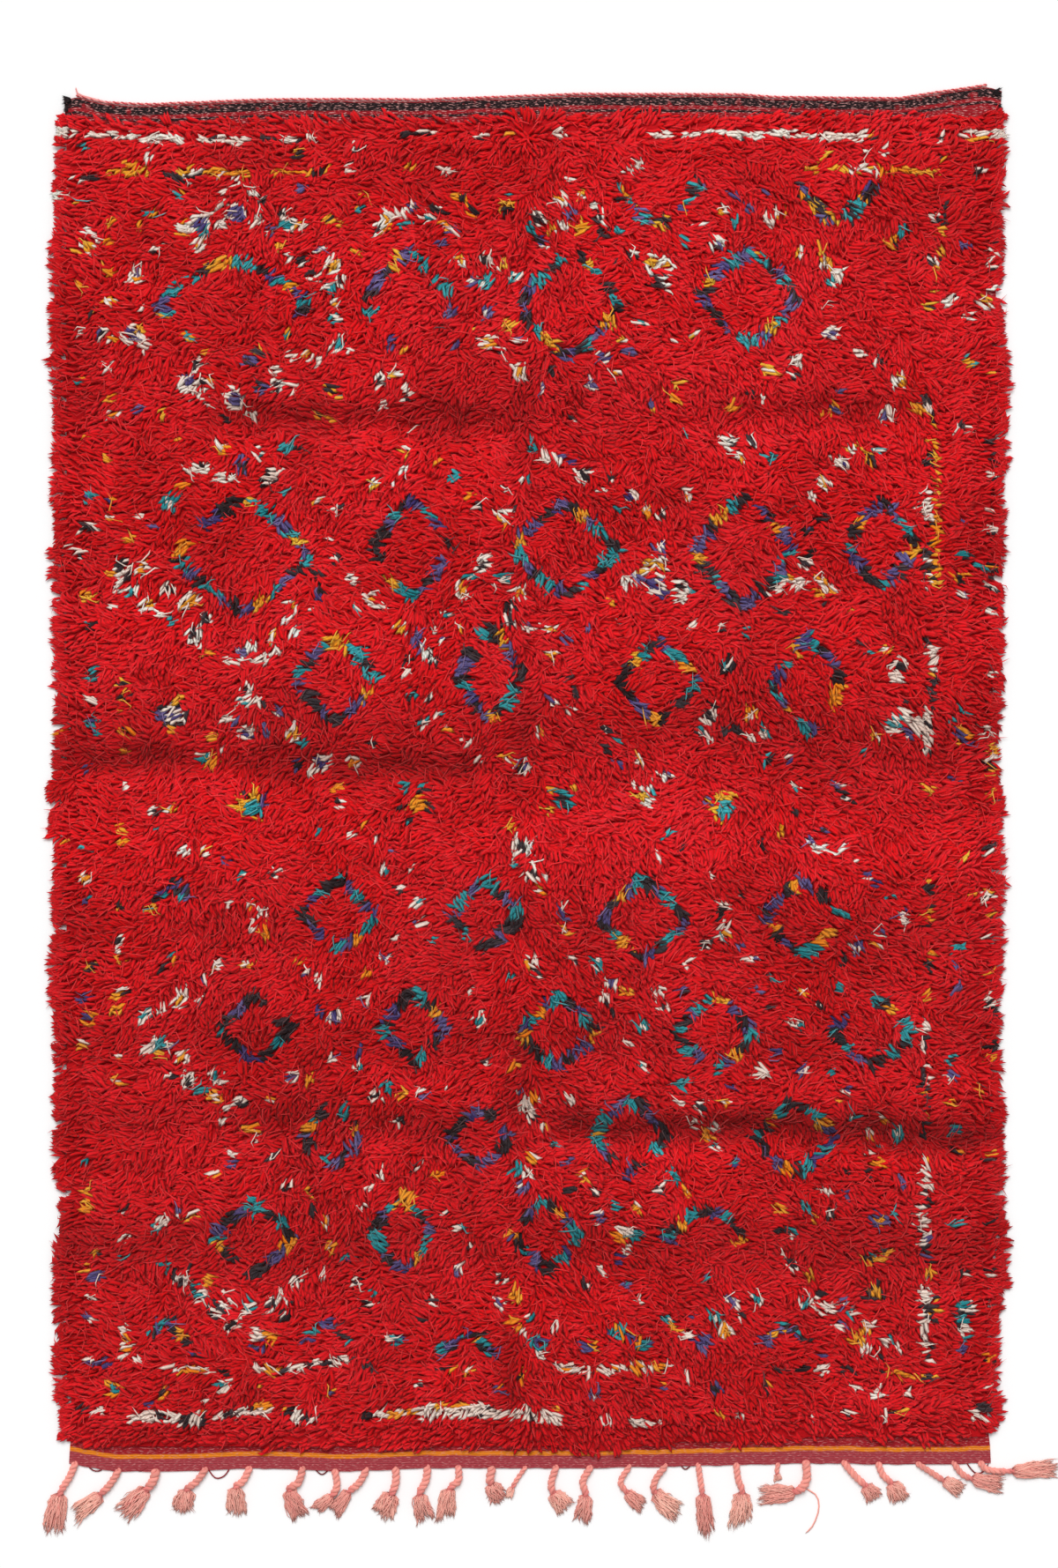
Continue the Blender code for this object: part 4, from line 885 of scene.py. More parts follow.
@dataclass(frozen=True)
class FlatWeave:
    """Weft-faced plain weave: a dark red ground, a broken black band and an orange foot stripe.

    Pale warps show between the wefts as short slanting flecks. The cloth attribute holds the place
    across the rug and the distances from the head edge and from the foot edge.
    """

    red: str = "9B1B24"
    rose: str = "A03A42"
    black: str = "231A1C"
    orange: str = "E07F1C"
    fleck: str = "E8A8A4"
    weft_mm: float = 2.4
    fleck_mm: tuple[float, float] = (2.2, 9.0)
    fleck_slant_deg: float = 58.0
    black_band: tuple[float, float] = (0.002, 0.020)
    black_line: tuple[float, float] = (0.028, 0.034)
    orange_stripe: tuple[float, float] = (0.027, 0.036)
    rose_hem: float = 0.027
    soft_edge: float = 0.0012
    relief: float = 0.0012

    def between(
        self, tree: bpy.types.NodeTree, value: bpy.types.NodeSocket, low: float, high: float
    ) -> bpy.types.NodeSocket:
        """A mask that is 1 where a value lies between two limits, with a soft edge.

        Args:
            tree: The node tree.
            value: The value's socket.
            low: The lower limit.
            high: The upper limit.

        Returns:
            The mask's socket.
        """
        soft = self.soft_edge
        rise = add_node(tree, "MapRange", {"Value": value, "From Min": low - soft, "From Max": low + soft})
        falling = {"From Min": high - soft, "From Max": high + soft, "To Min": 1.0, "To Max": 0.0}
        fall = add_node(tree, "MapRange", {"Value": value, **falling})
        mask = add_node(tree, "Math", {0: rise.outputs[0], 1: fall.outputs[0]}, operation="MULTIPLY")
        return mask.outputs[0]

    def over(
        self,
        tree: bpy.types.NodeTree,
        mask: bpy.types.NodeSocket,
        below: bpy.types.NodeSocket | tuple,
        above: bpy.types.NodeSocket | tuple,
    ) -> bpy.types.NodeSocket:
        """Lays one colour over another by a mask.

        Args:
            tree: The node tree.
            mask: Where the upper colour shows.
            below: The lower colour.
            above: The upper colour.

        Returns:
            The colour's socket.
        """
        return add_node(tree, "Mix", {0: mask, 6: below, 7: above}, data_type="RGBA").outputs[2]

    def material(self) -> bpy.types.Material:
        """Builds the material from the sheet's cloth attribute.

        Returns:
            The material.
        """
        material, tree, shader = begin_material("weft-faced wool weave", 0.92, 0.2, "FFB9B0")
        cloth = add_node(tree, "Attribute", attribute_name="cloth")
        parts = add_node(tree, "SeparateXYZ", {0: cloth.outputs["Vector"]})
        head, foot = parts.outputs["Y"], parts.outputs["Z"]
        place = add_node(tree, "TexCoord").outputs["Object"]
        slant = {
            "Vector": place,
            "Rotation": (0.0, 0.0, math.radians(self.fleck_slant_deg)),
            "Scale": (1000 / self.fleck_mm[1], 1000 / self.fleck_mm[0], 1.0),
        }
        turned = add_node(tree, "Mapping", slant)
        slants = add_node(tree, "TexNoise", {"Vector": turned.outputs[0], "Scale": 1.0, "Detail": 1.0})
        marks = {"Value": slants.outputs["Fac"], "From Min": 0.56, "From Max": 0.66}
        flecks = add_node(tree, "MapRange", marks)
        patches = add_node(tree, "TexNoise", {"Vector": place, "Scale": 42.0, "Detail": 2.0})
        wear = {"Value": patches.outputs["Fac"], "From Min": 0.28, "From Max": 0.40}
        worn = add_node(tree, "MapRange", wear)
        hem = self.between(tree, foot, -0.01, self.rose_hem)
        colour = self.over(tree, hem, rgba(self.red), rgba(self.rose))
        stripe = self.between(tree, foot, *self.orange_stripe)
        colour = self.over(tree, stripe, colour, rgba(self.orange))
        for low, high in (self.black_band, self.black_line):
            broken = {0: self.between(tree, head, low, high), 1: worn.outputs[0]}
            band = add_node(tree, "Math", broken, operation="MULTIPLY")
            colour = self.over(tree, band.outputs[0], colour, rgba(self.black))
        # The pale warps show most at the head end
        showing = {"Value": foot, "From Min": 0.03, "From Max": 0.2, "To Min": 0.3, "To Max": 0.65}
        bare = add_node(tree, "MapRange", showing)
        faint = add_node(tree, "Math", {0: flecks.outputs[0], 1: bare.outputs[0]}, operation="MULTIPLY")
        colour = self.over(tree, faint.outputs[0], colour, rgba(self.fleck))
        # The wave node draws a band every 2 pi / 20 of its scaled length
        wefts = {
            "Vector": place,
            "Scale": 1000 / self.weft_mm * math.pi / 10 / 2,
            "Distortion": 1.5,
            "Detail": 1.0,
        }
        rows = add_node(tree, "TexWave", wefts, wave_type="BANDS", bands_direction="Y")
        height = add_node(tree, "Math", {0: rows.outputs["Fac"], 1: slants.outputs["Fac"]}, operation="ADD")
        relief = {"Height": height.outputs[0], "Strength": 0.8, "Distance": self.relief}
        finish_material(tree, shader, colour, relief)
        return material


PILE_WOOL = SpunWool("knotted pile wool", sheen=0.07, streak_contrast=0.12, soak=0.5)
WARP_WOOL = SpunWool("undyed warp wool", root_shade=1.0, sheen=0.35, streak_contrast=0.12)
EDGE_WOOL = SpunWool("twined edge wool", root_shade=1.0, streak_contrast=0.2)
DARK_WOOL = SpunWool("charcoal wool ends", root_shade=1.0, sheen_tint="8C8488")


class Template(NamedTuple):
    """One closed strand to repeat: what each corner is, and how its faces join them."""

    station: np.ndarray
    angle: np.ndarray
    is_end: np.ndarray
    face_sizes: np.ndarray
    face_corners: np.ndarray
    corner_map: np.ndarray


def strand_template(sides: int, rings: int) -> Template:
    """Models one straight strand, pointed at both ends, to be laid along many routes.

    Args:
        sides: Sides of its section.
        rings: Rings between its two points.

    Returns:
        The strand as arrays.
    """
    bm = bmesh.new()
    bmesh.ops.create_cone(
        bm, cap_ends=True, cap_tris=False, segments=sides, radius1=1.0, radius2=1.0, depth=1.0
    )
    lengthwise = [e for e in bm.edges if abs(e.verts[0].co.z - e.verts[1].co.z) > 0.5]
    if rings > 2:
        bmesh.ops.subdivide_edges(bm, edges=lengthwise, cuts=rings - 2, use_grid_fill=False)
    bm.normal_update()
    caps = [face for face in bm.faces if abs(face.normal.z) > 0.9]
    bmesh.ops.poke(bm, faces=caps)
    bm.verts.ensure_lookup_table()
    place = np.array([v.co[:] for v in bm.verts])
    is_end = np.hypot(place[:, 0], place[:, 1]) < 0.5
    ring = np.rint((place[:, 2] + 0.5) * (rings - 1)).astype(int) + 1
    station = np.where(is_end, np.where(place[:, 2] > 0, rings + 1, 0), ring)
    angle = np.arctan2(place[:, 1], place[:, 0]) % (2 * math.pi)
    side = np.rint(angle / (2 * math.pi) * sides - angle[1] / (2 * math.pi) * sides).astype(int) % sides
    sizes, corners, chart = [], [], []
    for face in bm.faces:
        numbers = [v.index for v in face.verts]
        around = {n: int(side[n]) for n in numbers if not is_end[n]}
        if max(around.values()) - min(around.values()) > 1:
            around = {n: a or sides for n, a in around.items()}
        middle = sum(around.values()) / len(around)
        sizes.append(len(numbers))
        corners.extend(numbers)
        chart.extend((station[n] / (rings + 1), around.get(n, middle) / sides) for n in numbers)
    bm.free()
    return Template(station, angle, is_end, np.array(sizes), np.array(corners), np.array(chart))


@dataclass
class Strands:
    """Many strands that become one mesh.

    Attributes:
        route: Their points, as strand, station and axis. The first and last stations are its ends.
        radius: Half width at each station.
        colour: Linear colour at each station.
        draw: One draw from 0 to 1 for each strand.
        flat: Height of a strand's section as a share of its width.
        roll: Turn of each strand's section about its route.
    """

    route: np.ndarray
    radius: np.ndarray
    colour: np.ndarray
    draw: np.ndarray
    flat: float = 1.0
    roll: np.ndarray | float = 0.0

    def part(self, chosen: np.ndarray) -> "Strands":
        """The strands of the given numbers, each with a roll of its own."""
        route, radius, colour, draw, roll = (
            values[chosen] for values in (self.route, self.radius, self.colour, self.draw, self.roll)
        )
        return Strands(route, radius, colour, draw, self.flat, roll)

    def mesh(self, name: str, sides: int) -> bpy.types.Mesh:
        """Repeats the strand template along every route.

        Args:
            name: The mesh's name.
            sides: Sides of a strand's section.

        Returns:
            The joined mesh, with its yarn, strand and fibre attributes and its own map.
        """
        count, stations = self.radius.shape
        shape = strand_template(sides, stations - 2)
        ahead = np.gradient(self.route, axis=1)
        ahead /= np.maximum(np.linalg.norm(ahead, axis=2, keepdims=True), 1e-9)
        across = np.cross(ahead, (0.0, 0.0, 1.0))
        across /= np.maximum(np.linalg.norm(across, axis=2, keepdims=True), 1e-9)
        above = np.cross(across, ahead)
        roll = np.broadcast_to(np.asarray(self.roll, float), (count,))
        turn = shape.angle[None, :] + roll[:, None]
        reach = self.radius[:, shape.station] * ~shape.is_end
        side_step, rise = np.cos(turn) * reach, np.sin(turn) * reach * self.flat
        place = (
            self.route[:, shape.station]
            + across[:, shape.station] * side_step[:, :, None]
            + above[:, shape.station] * rise[:, :, None]
        )
        mesh = self.join(name, shape, place.reshape(-1, 3), count)
        length = np.linalg.norm(np.diff(self.route, axis=1), axis=2).cumsum(1)
        run = np.concatenate([np.zeros((count, 1)), length], 1)[:, shape.station]
        along = np.broadcast_to(shape.station / (stations - 1), (count, len(shape.station)))
        own = np.broadcast_to(self.draw[:, None], along.shape)
        widest = self.radius.max(1)[:, None] * ~shape.is_end
        fibre = np.stack([run + own * 10.0, np.cos(turn) * widest, np.sin(turn) * widest], 2)
        strand = np.stack([along, own, np.zeros_like(own)], 2)
        colour = np.concatenate([self.colour[:, shape.station], np.ones((*along.shape, 1))], 2)
        for title, kind, field, values in (
            ("strand", "FLOAT_VECTOR", "vector", strand),
            ("fibre", "FLOAT_VECTOR", "vector", fibre),
            ("yarn", "FLOAT_COLOR", "color", colour),
        ):
            layer = mesh.attributes.new(title, kind, "POINT")
            layer.data.foreach_set(field, values.astype(np.float32).ravel())
        return mesh

    def join(self, name: str, shape: Template, place: np.ndarray, count: int) -> bpy.types.Mesh:
        """Joins the repeated strands into one mesh, each with its own cell on the mesh's map.

        Args:
            name: The mesh's name.
            shape: The repeated strand.
            place: Every corner's place.
            count: How many strands there are.

        Returns:
            The mesh.
        """
        corners, faces = len(shape.face_corners), len(shape.face_sizes)
        first = np.arange(count)[:, None]
        starts = np.concatenate([[0], np.cumsum(shape.face_sizes)[:-1]])
        mesh = bpy.data.meshes.new(name)
        mesh.vertices.add(len(place))
        mesh.loops.add(count * corners)
        mesh.polygons.add(count * faces)
        mesh.vertices.foreach_set("co", place.astype(np.float32).ravel())
        numbers = shape.face_corners[None, :] + first * len(shape.station)
        mesh.loops.foreach_set("vertex_index", numbers.astype(np.int32).ravel())
        mesh.polygons.foreach_set("loop_start", (starts[None, :] + first * corners).astype(np.int32).ravel())
        mesh.polygons.foreach_set("use_smooth", np.ones(count * faces, bool))
        mesh.update(calc_edges=True)
        cells = math.ceil(math.sqrt(count))
        cell = np.stack([first % cells, first // cells], 2)
        margin = 0.12
        chart = (cell + margin + (1 - 2 * margin) * shape.corner_map[None]) / cells
        layer = mesh.uv_layers.new(name="OFBake")
        layer.uv.foreach_set("vector", chart.astype(np.float32).ravel())
        return mesh


def tapered(count: int, stations: int, half: float | np.ndarray) -> np.ndarray:
    """Half widths of strands that come to a point at both ends.

    Args:
        count: How many strands there are.
        stations: Stations of each.
        half: The half width between the ends, or one for each station.

    Returns:
        The half widths, as strand and station.
    """
    radius = np.full((count, stations), half)
    radius[:, (0, -1)] = 0.0
    return radius


def plain(dyes: Sequence[str], stations: int) -> np.ndarray:
    """One plain linear colour for each strand, from its hex dye, at each of its stations."""
    return np.array([np.broadcast_to(linear(dye), (stations, 3)) for dye in dyes])


def linked(name: str, data: bpy.types.ID) -> bpy.types.Object:
    """Makes an object of a mesh, a light or a camera and links it to the scene.

    Args:
        name: The object's name.
        data: Its data.

    Returns:
        The object.
    """
    made = bpy.data.objects.new(name, data)
    bpy.context.scene.collection.objects.link(made)
    return made


def piece(
    name: str, mesh: bpy.types.Mesh, material: bpy.types.Material, slot: str, *nodes: str
) -> bpy.types.Object:
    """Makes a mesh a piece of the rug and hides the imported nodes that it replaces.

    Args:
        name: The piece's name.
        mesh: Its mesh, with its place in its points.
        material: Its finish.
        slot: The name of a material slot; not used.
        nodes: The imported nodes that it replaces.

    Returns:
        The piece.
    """
    mesh.materials.clear()
    mesh.materials.append(material)
    made = linked(name, mesh)
    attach(made, BODY)
    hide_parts(*nodes)
    triangles = sum(len(p.vertices) - 2 for p in mesh.polygons)
    LOG.info("%s: %d triangles", name, triangles)
    return made


def slab(columns: int, rows: int) -> bmesh.types.BMesh:
    """A closed slab of columns by rows over the unit square.

    Args:
        columns: Faces across.
        rows: Faces along.

    Returns:
        The slab, with x and y from -0.5 to 0.5 and z 0 below and 1 above.
    """
    bm = bmesh.new()
    bmesh.ops.create_grid(bm, x_segments=columns, y_segments=rows, size=0.5)
    raised = bmesh.ops.extrude_face_region(bm, geom=bm.faces[:], use_keep_orig=True)["geom"]
    for item in raised:
        if isinstance(item, bmesh.types.BMVert):
            item.co.z = 1.0
    return bm


def slab_corners(bm: bmesh.types.BMesh) -> tuple[np.ndarray, ...]:
    """A slab's corners: their shares across and along it, and which of them lie on its top."""
    place = np.array([v.co[:] for v in bm.verts])
    return place[:, 0] + 0.5, place[:, 1] + 0.5, place[:, 2] > 0.5


def face_number(corners: Sequence[int], base: int) -> int:
    """One whole number for a face, from its three lowest corners counted in a base."""
    return sum(corner * base**place for place, corner in enumerate(sorted(corners)[:3]))


def finished_mesh(bm: bmesh.types.BMesh, name: str, *axes: np.ndarray) -> bpy.types.Mesh:
    """Moves a slab's corners and turns it into a smooth-shaded mesh.

    Args:
        bm: The slab, which is freed.
        name: The mesh's name.
        axes: The corners' new x, y and z.

    Returns:
        The mesh.
    """
    for vert, spot in zip(bm.verts, zip(*axes)):
        vert.co = spot
    bmesh.ops.recalc_face_normals(bm, faces=bm.faces)
    # Extruding leaves the side faces in an order that changes from run to run
    bm.verts.index_update()
    base = len(bm.verts)
    bm.faces.sort(key=lambda face: face_number([v.index for v in face.verts], base))
    mesh = bpy.data.meshes.new(name)
    bm.to_mesh(mesh)
    bm.free()
    mesh.shade_smooth()
    mesh.set_sharp_from_angle(angle=math.radians(50))
    return mesh


@dataclass
class PileSurface:
    """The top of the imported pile, read once on a fine grid, with its four edges."""

    step: float = 0.01
    rim_height: float = 0.0145
    rim_fall: float = 0.34
    lowest: float = 0.0050

    def __post_init__(self) -> None:
        """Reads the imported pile."""
        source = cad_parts["pile"].data
        tree = BVHTree.FromPolygons(
            [v.co[:] for v in source.vertices], [tuple(p.vertices) for p in source.polygons]
        )
        low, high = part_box("pile")
        self.xs = np.arange(low.x, high.x + self.step, self.step)
        self.ys = np.arange(low.y, high.y + self.step, self.step)
        down = Vector((0, 0, -1))
        self.heights = np.zeros((len(self.ys), len(self.xs)))
        for row, y in enumerate(self.ys):
            for column, x in enumerate(self.xs):
                hit = tree.ray_cast(Vector((x, y, 1.0)), down)[0]
                self.heights[row, column] = hit.z if hit else 0.0
        mass = self.heights > self.rim_height
        self.left = self.edge(self.xs[mass.argmax(1)])
        self.right = self.edge(self.xs[::-1][mass[:, ::-1].argmax(1)])
        self.foot = self.edge(self.ys[mass.argmax(0)])
        self.head = self.edge(self.ys[::-1][mass[::-1].argmax(0)])

    def edge(self, values: np.ndarray) -> np.ndarray:
        """Smooths an edge and carries its good middle out to its two ends.

        Args:
            values: The edge's raw places.

        Returns:
            The edge, free of the locks' steps.
        """
        trimmed = values.copy()
        trimmed[:5], trimmed[-5:] = trimmed[5], trimmed[-6]
        padded = np.pad(trimmed, 3, mode="edge")
        return np.median([padded[i : i + len(values)] for i in range(7)], axis=0)

    def edges(self, x: np.ndarray, y: np.ndarray) -> tuple[np.ndarray, ...]:
        """How far inside the pile's four edges places lie.

        Args:
            x: Places across the rug.
            y: Places along it.

        Returns:
            The distances from the left, right, foot and head edges.
        """
        left, right = np.interp(y, self.ys, self.left), np.interp(y, self.ys, self.right)
        foot, head = np.interp(x, self.xs, self.foot), np.interp(x, self.xs, self.head)
        return x - left, right - x, y - foot, head - y

    def top(self, x: np.ndarray, y: np.ndarray) -> np.ndarray:
        """Height of the pile's top, which falls to the floor past its edges.

        Args:
            x: Places across the rug.
            y: Places along it.

        Returns:
            The heights.
        """
        inset = 0.006
        from_left, from_right, from_foot, from_head = self.edges(x, y)
        inner_x = x + np.maximum(inset - from_left, 0) - np.maximum(inset - from_right, 0)
        inner_y = y + np.maximum(inset - from_foot, 0) - np.maximum(inset - from_head, 0)
        u = np.clip((inner_x - self.xs[0]) / self.step, 0, len(self.xs) - 1.001)
        v = np.clip((inner_y - self.ys[0]) / self.step, 0, len(self.ys) - 1.001)
        i, j = u.astype(int), v.astype(int)
        fu, fv = u - i, v - j
        low = self.heights[j, i] * (1 - fu) + self.heights[j, i + 1] * fu
        high = self.heights[j + 1, i] * (1 - fu) + self.heights[j + 1, i + 1] * fu
        height = low * (1 - fv) + high * fv
        outside = np.minimum(np.minimum.reduce([from_left, from_right, from_foot, from_head]), 0)
        return np.maximum(np.maximum(height, self.rim_height) + outside * self.rim_fall, self.lowest)


class Fold(NamedTuple):
    """A soft crease from when the rug lay folded: its line, its depth and how much painted shade lies along
    it.
    """

    start: tuple[float, float]
    end: tuple[float, float]
    depth: float
    shade: float


FOLDS = (
    Fold((-0.66, 0.751), (-0.04, 0.740), 0.008, 0.34),
    Fold((0.40, 0.760), (0.86, 0.770), 0.005, 0.22),
    Fold((-0.98, 0.030), (-0.10, 0.010), 0.008, 0.34),
    Fold((0.05, -0.752), (1.00, -0.760), 0.009, 0.42),
    Fold((-0.60, -0.730), (-0.10, -0.745), 0.003, 0.14),
    Fold((0.0, 0.86), (0.01, 0.58), 0.006, 0.26),
    Fold((-0.02, 0.30), (-0.02, -0.26), 0.005, 0.22),
    Fold((-0.02, -0.52), (-0.03, -0.80), 0.005, 0.24),
    Fold((-0.04, -1.15), (-0.04, -1.36), 0.005, 0.26),
)


class PaintedLightBand(NamedTuple):
    """A broad band of painted light across the rug, painted shade where its light is below 0: where it lies,
    how far it reaches and how much light it adds.
    """

    middle: float
    reach: float
    light: float


PAINTED_LIGHT_BANDS = (
    PaintedLightBand(1.06, 0.16, 0.08),
    PaintedLightBand(0.80, 0.06, -0.08),
    PaintedLightBand(0.66, 0.08, 0.06),
    PaintedLightBand(0.31, 0.09, 0.16),
    PaintedLightBand(0.10, 0.11, -0.24),
    PaintedLightBand(-0.12, 0.11, 0.24),
    PaintedLightBand(-0.32, 0.07, -0.12),
    PaintedLightBand(-0.56, 0.07, -0.16),
    PaintedLightBand(-0.71, 0.08, -0.16),
    PaintedLightBand(-0.97, 0.11, -0.24),
)


# Painted light: how much brighter the pile's colour gets for each metre towards the head end
PAINTED_HEAD_LIGHT = 0.07


class Crease(NamedTuple):
    """What the folds do at each place: how far the pile dips, and the painted light and shade that scale its
    colour.
    """

    dip: np.ndarray
    light: np.ndarray


def creases(x: np.ndarray, y: np.ndarray) -> Crease:
    """Adds up the folds. Painted shade darkens the pile along each fold, just above a crosswise one, and
    painted light brightens it just below.

    Args:
        x: Places across the rug.
        y: Places along it.

    Returns:
        The folds' dip, and the painted light and shade.
    """
    dip, light = np.zeros_like(x), np.ones_like(x)
    ragged = 0.02 * drift(x, y, 0.09, 61)
    for (ax, ay), (bx, by), depth, shade in FOLDS:
        span_x, span_y = bx - ax, by - ay
        length = math.hypot(span_x, span_y)
        t = ((x - ax) * span_x + (y - ay) * span_y) / length**2
        # Positive on the head end's side of a crosswise fold
        side = ((y - ay) * abs(span_x) - (x - ax) * span_y * math.copysign(1, span_x)) / length
        run = smooth_step(np.minimum(t, 1 - t) * length / 0.10 + 0.5)
        crosswise = abs(span_x) > abs(span_y)
        shift = 0.018 if crosswise else 0.0
        dip += depth * run * (1 - smooth_step(np.abs(side) / 0.055))
        # Painted shade along the fold's line, moved towards the head end for a crosswise fold
        light -= shade * run * (1 - smooth_step(np.abs(side - shift + ragged) / 0.052))
        if crosswise:
            # Painted light just below a crosswise fold
            light += 0.35 * shade * run * (1 - smooth_step(np.abs(side + 0.045 + ragged) / 0.04))
    # Painted light that grows towards the head end
    light += PAINTED_HEAD_LIGHT * y
    # Painted bands of light and shade across the rug
    rolling = y + 0.03 * drift(x, y, 0.22, 63)
    for middle, reach, gain in PAINTED_LIGHT_BANDS:
        light += gain * (1 - smooth_step(np.abs(rolling - middle) / reach))
    return Crease(dip, light)


@dataclass(frozen=True)
class LockKind:
    """One kind of lock: its size, its outline, how it curls and how deep it lies."""

    pitch: float
    length: tuple[float, float]
    width: tuple[float, float]
    stations: tuple[float, ...]
    swell: tuple[float, ...]
    depth: tuple[float, ...]
    flat: float
    pull: float
    curl: float
    wander: float
    tone: float
    # Share of the painted highlight's pink at each station
    painted_highlight: tuple[float, ...]


# Hand-spun strands, which lie side by side in tongues
STRAND = LockKind(
    pitch=0.0094,
    length=(0.036, 0.050),
    width=(0.0076, 0.0114),
    stations=(0.0, 0.32, 0.72, 1.0),
    swell=(0.0, 0.95, 1.0, 0.0),
    depth=(0.012, 0.0038, 0.0006, 0.0014),
    flat=0.22,
    pull=0.30,
    curl=0.50,
    wander=0.16,
    tone=0.42,
    painted_highlight=(0.0, 0.0, 0.005, 0.015),
)
# Stray hairs that curl over the strands and catch the light
STRAY = LockKind(
    pitch=0.0262,
    length=(0.040, 0.062),
    width=(0.0028, 0.0046),
    stations=(0.0, 0.30, 0.68, 1.0),
    swell=(0.0, 1.0, 0.9, 0.0),
    depth=(0.006, -0.0008, -0.0012, 0.0012),
    flat=0.7,
    pull=0.0,
    curl=1.60,
    wander=0.60,
    tone=0.95,
    painted_highlight=(0.01, 0.04, 0.05, 0.06),
)


@dataclass
class ShagPile:
    """The knotted pile: thousands of curled wool locks that lie over a bed of knots."""

    surface: PileSurface
    chart: Chart
    clump_across: float = 0.038
    clump_depth: float = 0.0060
    lie_depth: float = 0.0018
    bed_depth: float = 0.0112
    bed_inset: float = 0.001
    side_inset: float = -0.007
    foot_inset: float = 0.011
    head_inset: float = -0.004
    rim_deep: float = 0.018
    # Pink of the painted highlight at the locks' tips
    blush: str = "FFA8A0"
    strips: int = 6

    def roots(self, kind: LockKind, rng: np.random.Generator) -> tuple[np.ndarray, np.ndarray]:
        """Sets the locks' roots in jittered rows over the pile.

        Args:
            kind: The kind of lock.
            rng: The draw for their places.

        Returns:
            The roots' places across and along the rug.
        """
        xs, ys = self.surface.xs, self.surface.ys
        x, y = np.meshgrid(np.arange(xs[0], xs[-1], kind.pitch), np.arange(ys[0], ys[-1], kind.pitch))
        # A second lattice thickens the two sides
        x, y = np.tile(x.ravel(), 2), np.tile(y.ravel(), 2)
        second = np.arange(len(x)) >= len(x) // 2
        x = x + rng.uniform(-0.5, 0.5, x.size) * kind.pitch
        y = y + rng.uniform(-0.5, 0.5, y.size) * kind.pitch
        from_left, from_right, from_foot, from_head = self.surface.edges(x, y)
        aside = np.minimum(from_left, from_right)
        kept = (aside > self.side_inset) & ~(second & (aside > self.rim_deep))
        kept &= from_foot > self.foot_inset + 0.007 * drift(x, x * 0, 0.12, 62)
        kept &= from_head > self.head_inset
        return x[kept], y[kept]

    def heading(self, x: np.ndarray, y: np.ndarray, clump: Nearest) -> np.ndarray:
        """The way each lock lies: out at the edges, down the rug and away from its middle fold.

        Args:
            x: Roots across the rug.
            y: Roots along it.
            clump: Each root's clump.

        Returns:
            Angles from +X.
        """
        side = smooth_step((np.abs(x) - 0.80) / 0.16)
        foot = smooth_step((-1.28 - y) / 0.11)
        head = smooth_step((y - 1.32) / 0.06)
        away = np.tanh(x / 0.06)
        lie_x = away * (0.75 + 0.7 * side) * (1 + 0.6 * np.maximum(foot * (x < 0), head))
        hang = foot * (0.1 + 0.6 * smooth_step((x + 0.1) / 0.3))
        lie_y = -0.42 * (1 - 0.85 * side) * (1 - head) - hang + 0.4 * head + 0.2 * side * (y > 0.6)
        angle = np.arctan2(lie_y, lie_x)
        wild = 1 - 0.55 * np.maximum.reduce([side, foot, head])
        own = cell_draw(clump.column, clump.row, 71) - 0.5
        swirl = 0.8 * drift(x, y, 0.11, 72) + 0.7 * drift(x, y, 0.05, 73) + 1.5 * own
        return angle + wild * swirl

    def locks(self, kind: LockKind, seed: int) -> Strands:
        """Lays every lock of a kind: its curl, its height over the bed, its thickness and its yarn.

        Args:
            kind: The kind of lock.
            seed: The seed of its draws.

        Returns:
            The locks.
        """
        rng = np.random.default_rng(seed)
        x, y = self.roots(kind, rng)
        count = len(x)
        clump = nearest_clump(x, y, self.clump_across)
        angle = self.heading(x, y, clump) + rng.normal(0, kind.wander, count)
        curl = 3.4 * (cell_draw(clump.column, clump.row, 74) - 0.5) + rng.normal(0, kind.curl, count)
        length = rng.uniform(*kind.length, count)
        length *= 1 - 0.25 * smooth_step((np.abs(y) - 1.30) / 0.08)
        sides = self.surface.edges(x, y)
        length *= 1 - 0.35 * smooth_step((0.012 - np.minimum(*sides[:2])) / 0.018)
        t = np.array(kind.stations)
        steps = np.diff(t)
        middle = (t[1:] + t[:-1]) / 2
        bearing = angle[:, None] + curl[:, None] * (middle - 0.4)[None]
        bearing += rng.normal(0, 0.35 * kind.curl, bearing.shape)
        walk_x = np.cumsum(np.cos(bearing) * steps * length[:, None], 1)
        walk_y = np.cumsum(np.sin(bearing) * steps * length[:, None], 1)
        pull = kind.pull * t[1:] ** 1.5
        route = np.zeros((count, len(t), 3))
        route[:, 0, 0], route[:, 0, 1] = x, y
        route[:, 1:, 0] = x[:, None] + walk_x + clump.dx[:, None] * pull
        route[:, 1:, 1] = y[:, None] + walk_y + clump.dy[:, None] * pull
